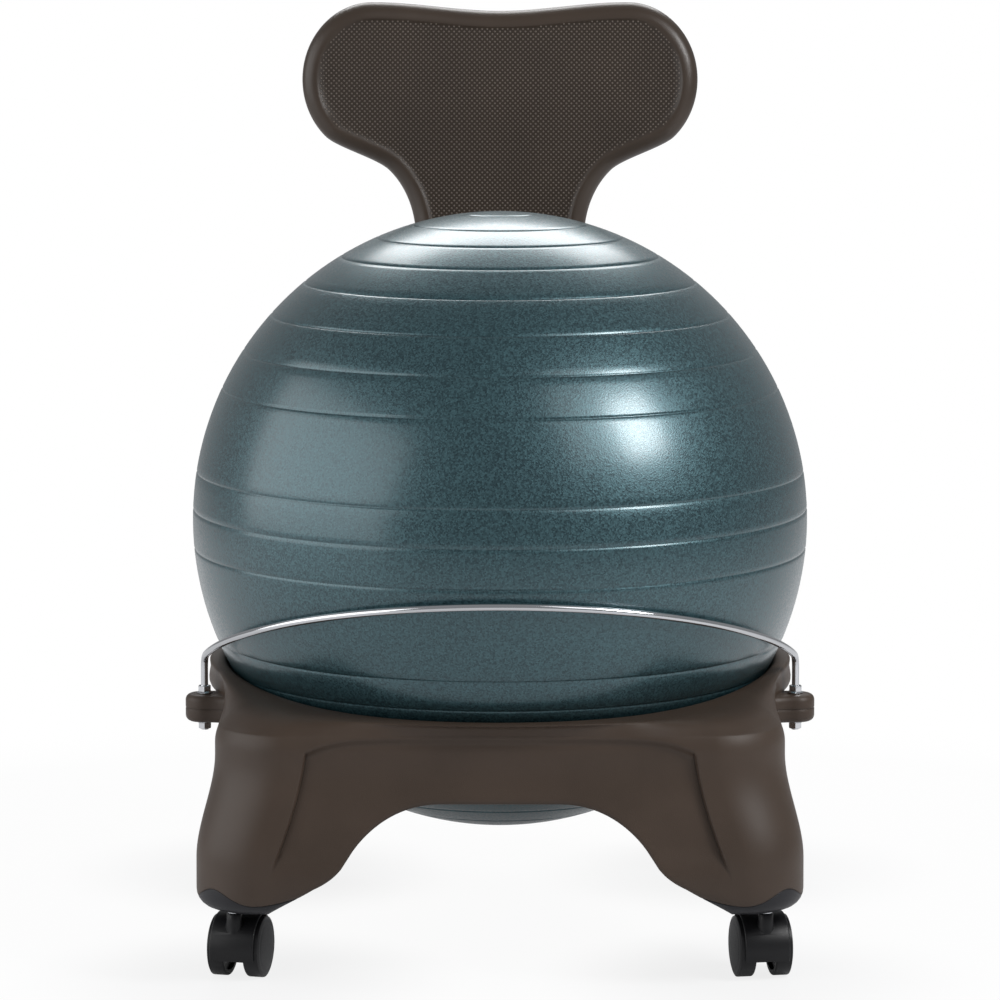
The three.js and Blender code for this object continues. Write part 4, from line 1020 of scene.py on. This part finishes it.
def addBackScrews(s):
    for name, side in (("left", -1), ("right", 1)):
        place = Matrix.Translation((side * s["x"] / 1000, (s["seat"] + ballAxisY) / 1000, s["z"] / 1000))
        place = place @ Matrix.Rotation(-pi / 2, 4, "X")
        for label, (verts, faces) in (("Screw", screwShape(s)), ("Washer", washerShape(s))):
            piece = newPiece("back" + label + name.capitalize(), verts, faces, zincSteel, 30, place)
            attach(piece, "base")
            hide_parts(f"back_{label.lower()}_{name}")


addBackScrews(screwSettings)
print("back screws made")

# Casters: drawn about the swivel axis with the axle behind it, then set in each corner at its own heading

casterSettings = {"x": 216.0, "y": 205.0, "trail": 17.0, "wheel": 25.0, "headings": {
    "front_left": -14, "front_right": 10, "rear_left": -6, "rear_right": 8}}
hoodSettings = {
    **casterSettings, "inner": 26.2, "outer": 27.9, "half": 18.6, "rearAngle": 22.0, "bottom": 17.0,
    "soft": 1.3, "innerSoft": 0.3, "web": 7.0, "webSoft": 0.8, "neck": 7.0, "neckTop": 56.0,
    "neckFoot": [(1.2, 0), (0.4, 0.5), (0, 1.5)], "neckBend": [(0, 45.0), (0.6, 50.0)],
    "neckLip": [(0.8, 0.8), (1.4, 0)], "stemHole": 4.3, "stemHoleDepth": 16.3,
    "pinReach": 19.5, "pinAngle": 40.0, "slotDrop": 5.35, "slotNear": 4.0, "slotHalf": 3.3, "slotSize": 28.0,
}
wheelSettings = {
    **casterSettings, "inner": 8.4, "tread": 12.4, "half": 23.0, "axle": 3.3, "axleEnd": 19.3, "sides": 72,
    "hub": 8.2, "recess": 20.5, "recessDepth": 3.0, "treadWall": 6.0, "rimRound": 1.5, "domeEdge": 0.65,
    "domeInset": 0.9, "domePower": 1.1, "grooveAt": 19.3, "grooveWidth": 0.55, "grooveDepth": 0.35,
    "hubSoft": (0.7, 0.6), "recessSoft": 0.5, "treadEdge": [(0, -0.4), (0.15, 0.3), (0.6, 0.55)],
}


def casterPlace(corner, s):
    x = -s["x"] if corner.endswith("left") else s["x"]
    y = -s["y"] if corner.startswith("front") else s["y"]
    spot = Matrix.Translation((x / 1000, (y + ballAxisY) / 1000, 0))
    return spot @ Matrix.Rotation(radians(s["headings"][corner]), 4, "Z")


def hoodCover(s, place):
    front = 180 + degrees(asin((s["wheel"] - s["bottom"]) / s["outer"]))
    half, low, high, soft, lip = s["half"], s["inner"], s["outer"], s["soft"], s["innerSoft"]
    section = [(low, -half + lip), (low + lip, -half)]
    for side, start in ((-1, -pi / 2), (1, 0)):
        section += arcPoints(high - soft, side * (half - soft), soft, start, start + pi / 2, 5)
    section += [(low + lip, half), (low, half - lip)]
    turns = np.linspace(radians(s["rearAngle"]), radians(front), 48)
    verts = [(x, s["trail"] + r * cos(a), s["wheel"] + r * sin(a)) for a in turns for r, x in section]
    return newPiece("hoodCover", verts, cappedTube(len(turns), len(section), False), casterNylon, 35, place)


def hoodWeb(s, place):
    radius, half, soft, bottom = (s["inner"] + s["outer"]) / 2, s["web"], s["webSoft"], s["bottom"]
    low = asin((s["wheel"] - bottom) / radius)
    angles = np.linspace(-low, pi + low, 44)
    verts = []
    for x, shrink in ((-half, soft), (-half + soft, 0), (half - soft, 0), (half, soft)):
        r = radius - shrink
        verts += [(x, s["trail"] + r * cos(a), max(bottom + shrink, s["wheel"] + r * sin(a))) for a in angles]
    return newPiece("hoodWeb", verts, cappedTube(4, len(angles), False), casterNylon, 35, place)


def hoodNeck(s, place):
    n, low, top, hole = s["neck"], s["bottom"], s["neckTop"], s["stemHole"]
    holeEnd = top - s["stemHoleDepth"]
    profile = [(0, low)] + [(n - inset, low + rise) for inset, rise in s["neckFoot"]]
    profile += [(n - inset, height) for inset, height in s["neckBend"]]
    profile += [(n - inset, top - fall) for inset, fall in s["neckLip"]]
    profile += [(hole, top), (hole, holeEnd), (0, holeEnd)]
    return newPiece("hoodNeck", *turnedProfile(profile, 48), casterNylon, 35, place)


def leverSlot(s, place):
    angle, half, size = radians(s["pinAngle"]), s["slotHalf"], s["slotSize"]
    near = s["trail"] + s["pinReach"] * cos(angle) - s["slotNear"]
    low = s["wheel"] + s["pinReach"] * sin(angle) - s["slotDrop"]
    flat = (-half, near), (half, near), (half, near + size), (-half, near + size)
    verts = [(x, y, z) for z in (low, low + size) for x, y in flat]
    return newPiece("leverSlot", verts, cappedTube(2, 4, False), casterNylon, 35, place)


def addHood(corner, s):
    place = casterPlace(corner, s)
    hood = hoodCover(s, place)
    for part in (hoodNeck(s, place), hoodWeb(s, place)):
        cutWith(hood, part, "UNION")
    if corner.startswith("rear"):
        cutWith(hood, leverSlot(s, place))
    hood.name = "casterHood_" + corner
    dressPiece(hood, casterNylon)
    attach(hood, "caster_" + corner)
    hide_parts("caster_hood_" + corner)


def wheelProfile(s):
    r, inner, edge, hub, recess = s["wheel"], s["inner"], s["inner"] + s["tread"], s["hub"], s["recess"]
    deep, soft = inner + s["recessDepth"], s["rimRound"]
    domeR, domeZ = r - s["domeInset"], edge + s["domeEdge"]
    (narrower, higher), lip = s["hubSoft"], s["recessSoft"]
    profile = [(0, s["axleEnd"]), (s["axle"], s["axleEnd"]), (s["axle"], inner), (hub - narrower, inner),
               (hub, inner + higher), (hub, deep), (recess, deep), (recess, inner + lip),
               (recess + lip, inner), (r - soft, inner)]
    profile += [(r - soft + soft * sin(a), inner + soft - soft * cos(a)) for a in np.linspace(0.3, pi / 2, 5)]
    profile.append((r, inner + s["treadWall"]))
    profile += [(r - inset, edge + rise) for inset, rise in s["treadEdge"]] + [(domeR, domeZ)]
    for t in np.linspace(0.06, 1, 16)[:-1]:
        rise = (s["half"] - domeZ) * sin(acos(1 - t)) ** s["domePower"]
        dip = s["grooveDepth"] * exp(-((domeR * (1 - t) - s["grooveAt"]) / s["grooveWidth"]) ** 2)
        profile.append((domeR * (1 - t), domeZ + rise - dip))
    return profile + [(0, s["half"])]


def addWheels(corner, s):
    place = casterPlace(corner, s)
    verts, faces = turnedProfile(wheelProfile(s), s["sides"])
    for name, side in (("left", -1), ("right", 1)):
        turned = [(side * z, s["trail"] + x, s["wheel"] + y) for x, y, z in verts]
        wheel = newPiece(f"wheel_{corner}_{name}_shown", turned, faces, wheelNylon, 40, place)
        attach(wheel, f"wheel_{corner}_{name}")
        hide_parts(f"wheel_{corner}_{name}")


def softened(name, node, body, material, width):
    mesh = nodes[node].data.copy()
    work = bmesh.new()
    work.from_mesh(mesh)
    bmesh.ops.remove_doubles(work, verts=work.verts, dist=1e-6)
    bmesh.ops.dissolve_limit(work, angle_limit=radians(2), verts=work.verts, edges=work.edges)
    sharp = [e for e in work.edges if len(e.link_faces) == 2 and e.calc_face_angle() > radians(35)]
    bmesh.ops.bevel(work, geom=sharp, offset=width, segments=3, profile=0.5, affect="EDGES",
                    clamp_overlap=True)
    work.to_mesh(mesh)
    work.free()
    piece = finishPiece(name, mesh, material, 40)
    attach(piece, body)
    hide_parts(node)


for corner in casterSettings["headings"]:
    addHood(corner, hoodSettings)
    addWheels(corner, wheelSettings)
    softened("stemBush_" + corner, "stem_bush_" + corner, "base", casterNylon, 0.0003)
for corner in ("rear_left", "rear_right"):
    lever = "brake_lever_" + corner
    softened("brakeLever_" + corner, lever, lever, leverPlastic, 0.0006)
print("casters made")

for name, node in nodes.items():
    if name.startswith(("caster_stem", "caster_axle", "brake_pin")):
        for slotEntry in node.material_slots:
            slotEntry.material = barChrome if name.startswith("caster_stem") else zincSteel

# Floor, light and white surroundings

# The floor's white glow is stronger between the casters than near them: painted light over the chair's shadow
stageSettings = {
    "floorSize": 14.0, "floorColour": (0.72, 0.72, 0.73), "floorRoughness": 0.75, "floorSpecular": 0.2,
    "fadeStart": 0.4, "fadeEnd": 1.0, "whiteShare": 0.82, "paintedLightBetween": 0.95, "casterSpot": (0.216, 0.205),
    "paintedLightStart": 0.05, "paintedLightEnd": 0.2, "glossShare": 0.15, "worldColour": (0.96, 0.98, 1.0),
    "worldLight": 0.3,
}
white = (1, 1, 1, 1)

lightSettings = [
    {"name": "topLight", "place": (0.0, 1.65, 2.05), "aim": (0, 0, 0.45), "size": (1.7, 0.85), "power": 26},
    {"name": "rightLight", "place": (1.62, -1.0, 1.6), "aim": (0, 0, 0.4), "size": (0.6, 0.74), "power": 29},
    {"name": "rightFillLight", "place": (1.33, -1.45, 1.93), "aim": (0, 0, 0.4), "size": (1.2, 1.3),
     "power": 8},
    {"name": "leftLight", "place": (-2.3, -0.72, 1.1), "aim": (0, 0, 0.4), "size": (3.2, 1.9), "power": 36},
]


def blendShaders(tree, share, first, second, output):
    blend = addNode(tree, "ShaderNodeMixShader", {"Fac": share, 1: first.outputs[0], 2: second.outputs[0]})
    setInputs(output, {"Surface": blend.outputs[0]})


def seenRay(tree, glossShare):
    path = addNode(tree, "ShaderNodeLightPath").outputs
    total = path["Is Camera Ray"]
    for ray, part in ((path["Is Glossy Ray"], glossShare), (path["Is Transmission Ray"], 1.0)):
        total = mathNode(tree, "ShaderNodeMath", "MULTIPLY_ADD", ray, part, total, use_clamp=True)
    return total


def addFloor(s):
    half = s["floorSize"] / 2 / millimetre
    corners = [(-half, -half, 0), (half, -half, 0), (half, half, 0), (-half, half, 0)]
    floor = newObject("studioFloor", newMesh("studioFloor", corners, [(0, 1, 2, 3)]))
    material, tree, shader = newMaterial("paleFloor")
    setInputs(shader, {"Base Color": (*s["floorColour"], 1), "Roughness": s["floorRoughness"],
                       "Specular IOR Level": s["floorSpecular"]})
    place = objectPlace(tree)
    centre, corner = (0, ballAxisY / 1000, 0), (*s["casterSpot"], 0)
    centred = mathNode(tree, "ShaderNodeVectorMath", "SUBTRACT", place, centre)
    folded = mathNode(tree, "ShaderNodeVectorMath", "ABSOLUTE", centred)
    away = addNode(tree, "ShaderNodeVectorMath", {0: place}, operation="LENGTH").outputs["Value"]
    ends = {0: folded, 1: corner}
    beside = addNode(tree, "ShaderNodeVectorMath", ends, operation="DISTANCE").outputs["Value"]
    soft = {"interpolation_type": "SMOOTHSTEP"}
    fade = mapped(tree, away, s["whiteShare"], 1.0, s["fadeStart"], s["fadeEnd"], **soft)
    # Painted light: between the casters the floor's white glow is raised, which lifts the chair's shadow
    # under the middle; near each caster more real shadow shows
    spot = mapped(tree, beside, s["whiteShare"], s["paintedLightBetween"], s["paintedLightStart"], s["paintedLightEnd"], **soft)
    whiter = mathNode(tree, "ShaderNodeMath", "MAXIMUM", fade, spot)
    share = mathNode(tree, "ShaderNodeMath", "MULTIPLY", whiter, seenRay(tree, s["glossShare"]))
    glow = addNode(tree, "ShaderNodeEmission", {"Color": white, "Strength": 1.0})
    output = next(n for n in tree.nodes if n.type == "OUTPUT_MATERIAL")
    blendShaders(tree, share, shader, glow, output)
    floor.data.materials.append(material)


def addWorld(s):
    world = bpy.data.worlds.new("studioWorld")
    bpy.context.scene.world = world
    world.use_nodes = True
    tree = world.node_tree
    tree.nodes.clear()
    lit = addNode(tree, "ShaderNodeBackground", {
        "Color": (*s["worldColour"], 1), "Strength": s["worldLight"]})
    seen = addNode(tree, "ShaderNodeBackground", {"Color": white, "Strength": 1.0})
    path, output = addNode(tree, "ShaderNodeLightPath"), addNode(tree, "ShaderNodeOutputWorld")
    blendShaders(tree, path.outputs["Is Camera Ray"], lit, seen, output)


def addLights(rows):
    for row in rows:
        data = bpy.data.lights.new(row["name"], "AREA")
        data.shape, data.energy = "RECTANGLE", row["power"]
        data.size, data.size_y = row["size"]
        lamp = newObject(row["name"], data)
        lamp.location = row["place"]
        lamp.rotation_euler = (Vector(row["aim"]) - Vector(row["place"])).to_track_quat("-Z", "Y").to_euler()


addFloor(stageSettings)
addWorld(stageSettings)
addLights(lightSettings)
bpy.context.scene.view_settings.view_transform = "Standard"
print("stage set")
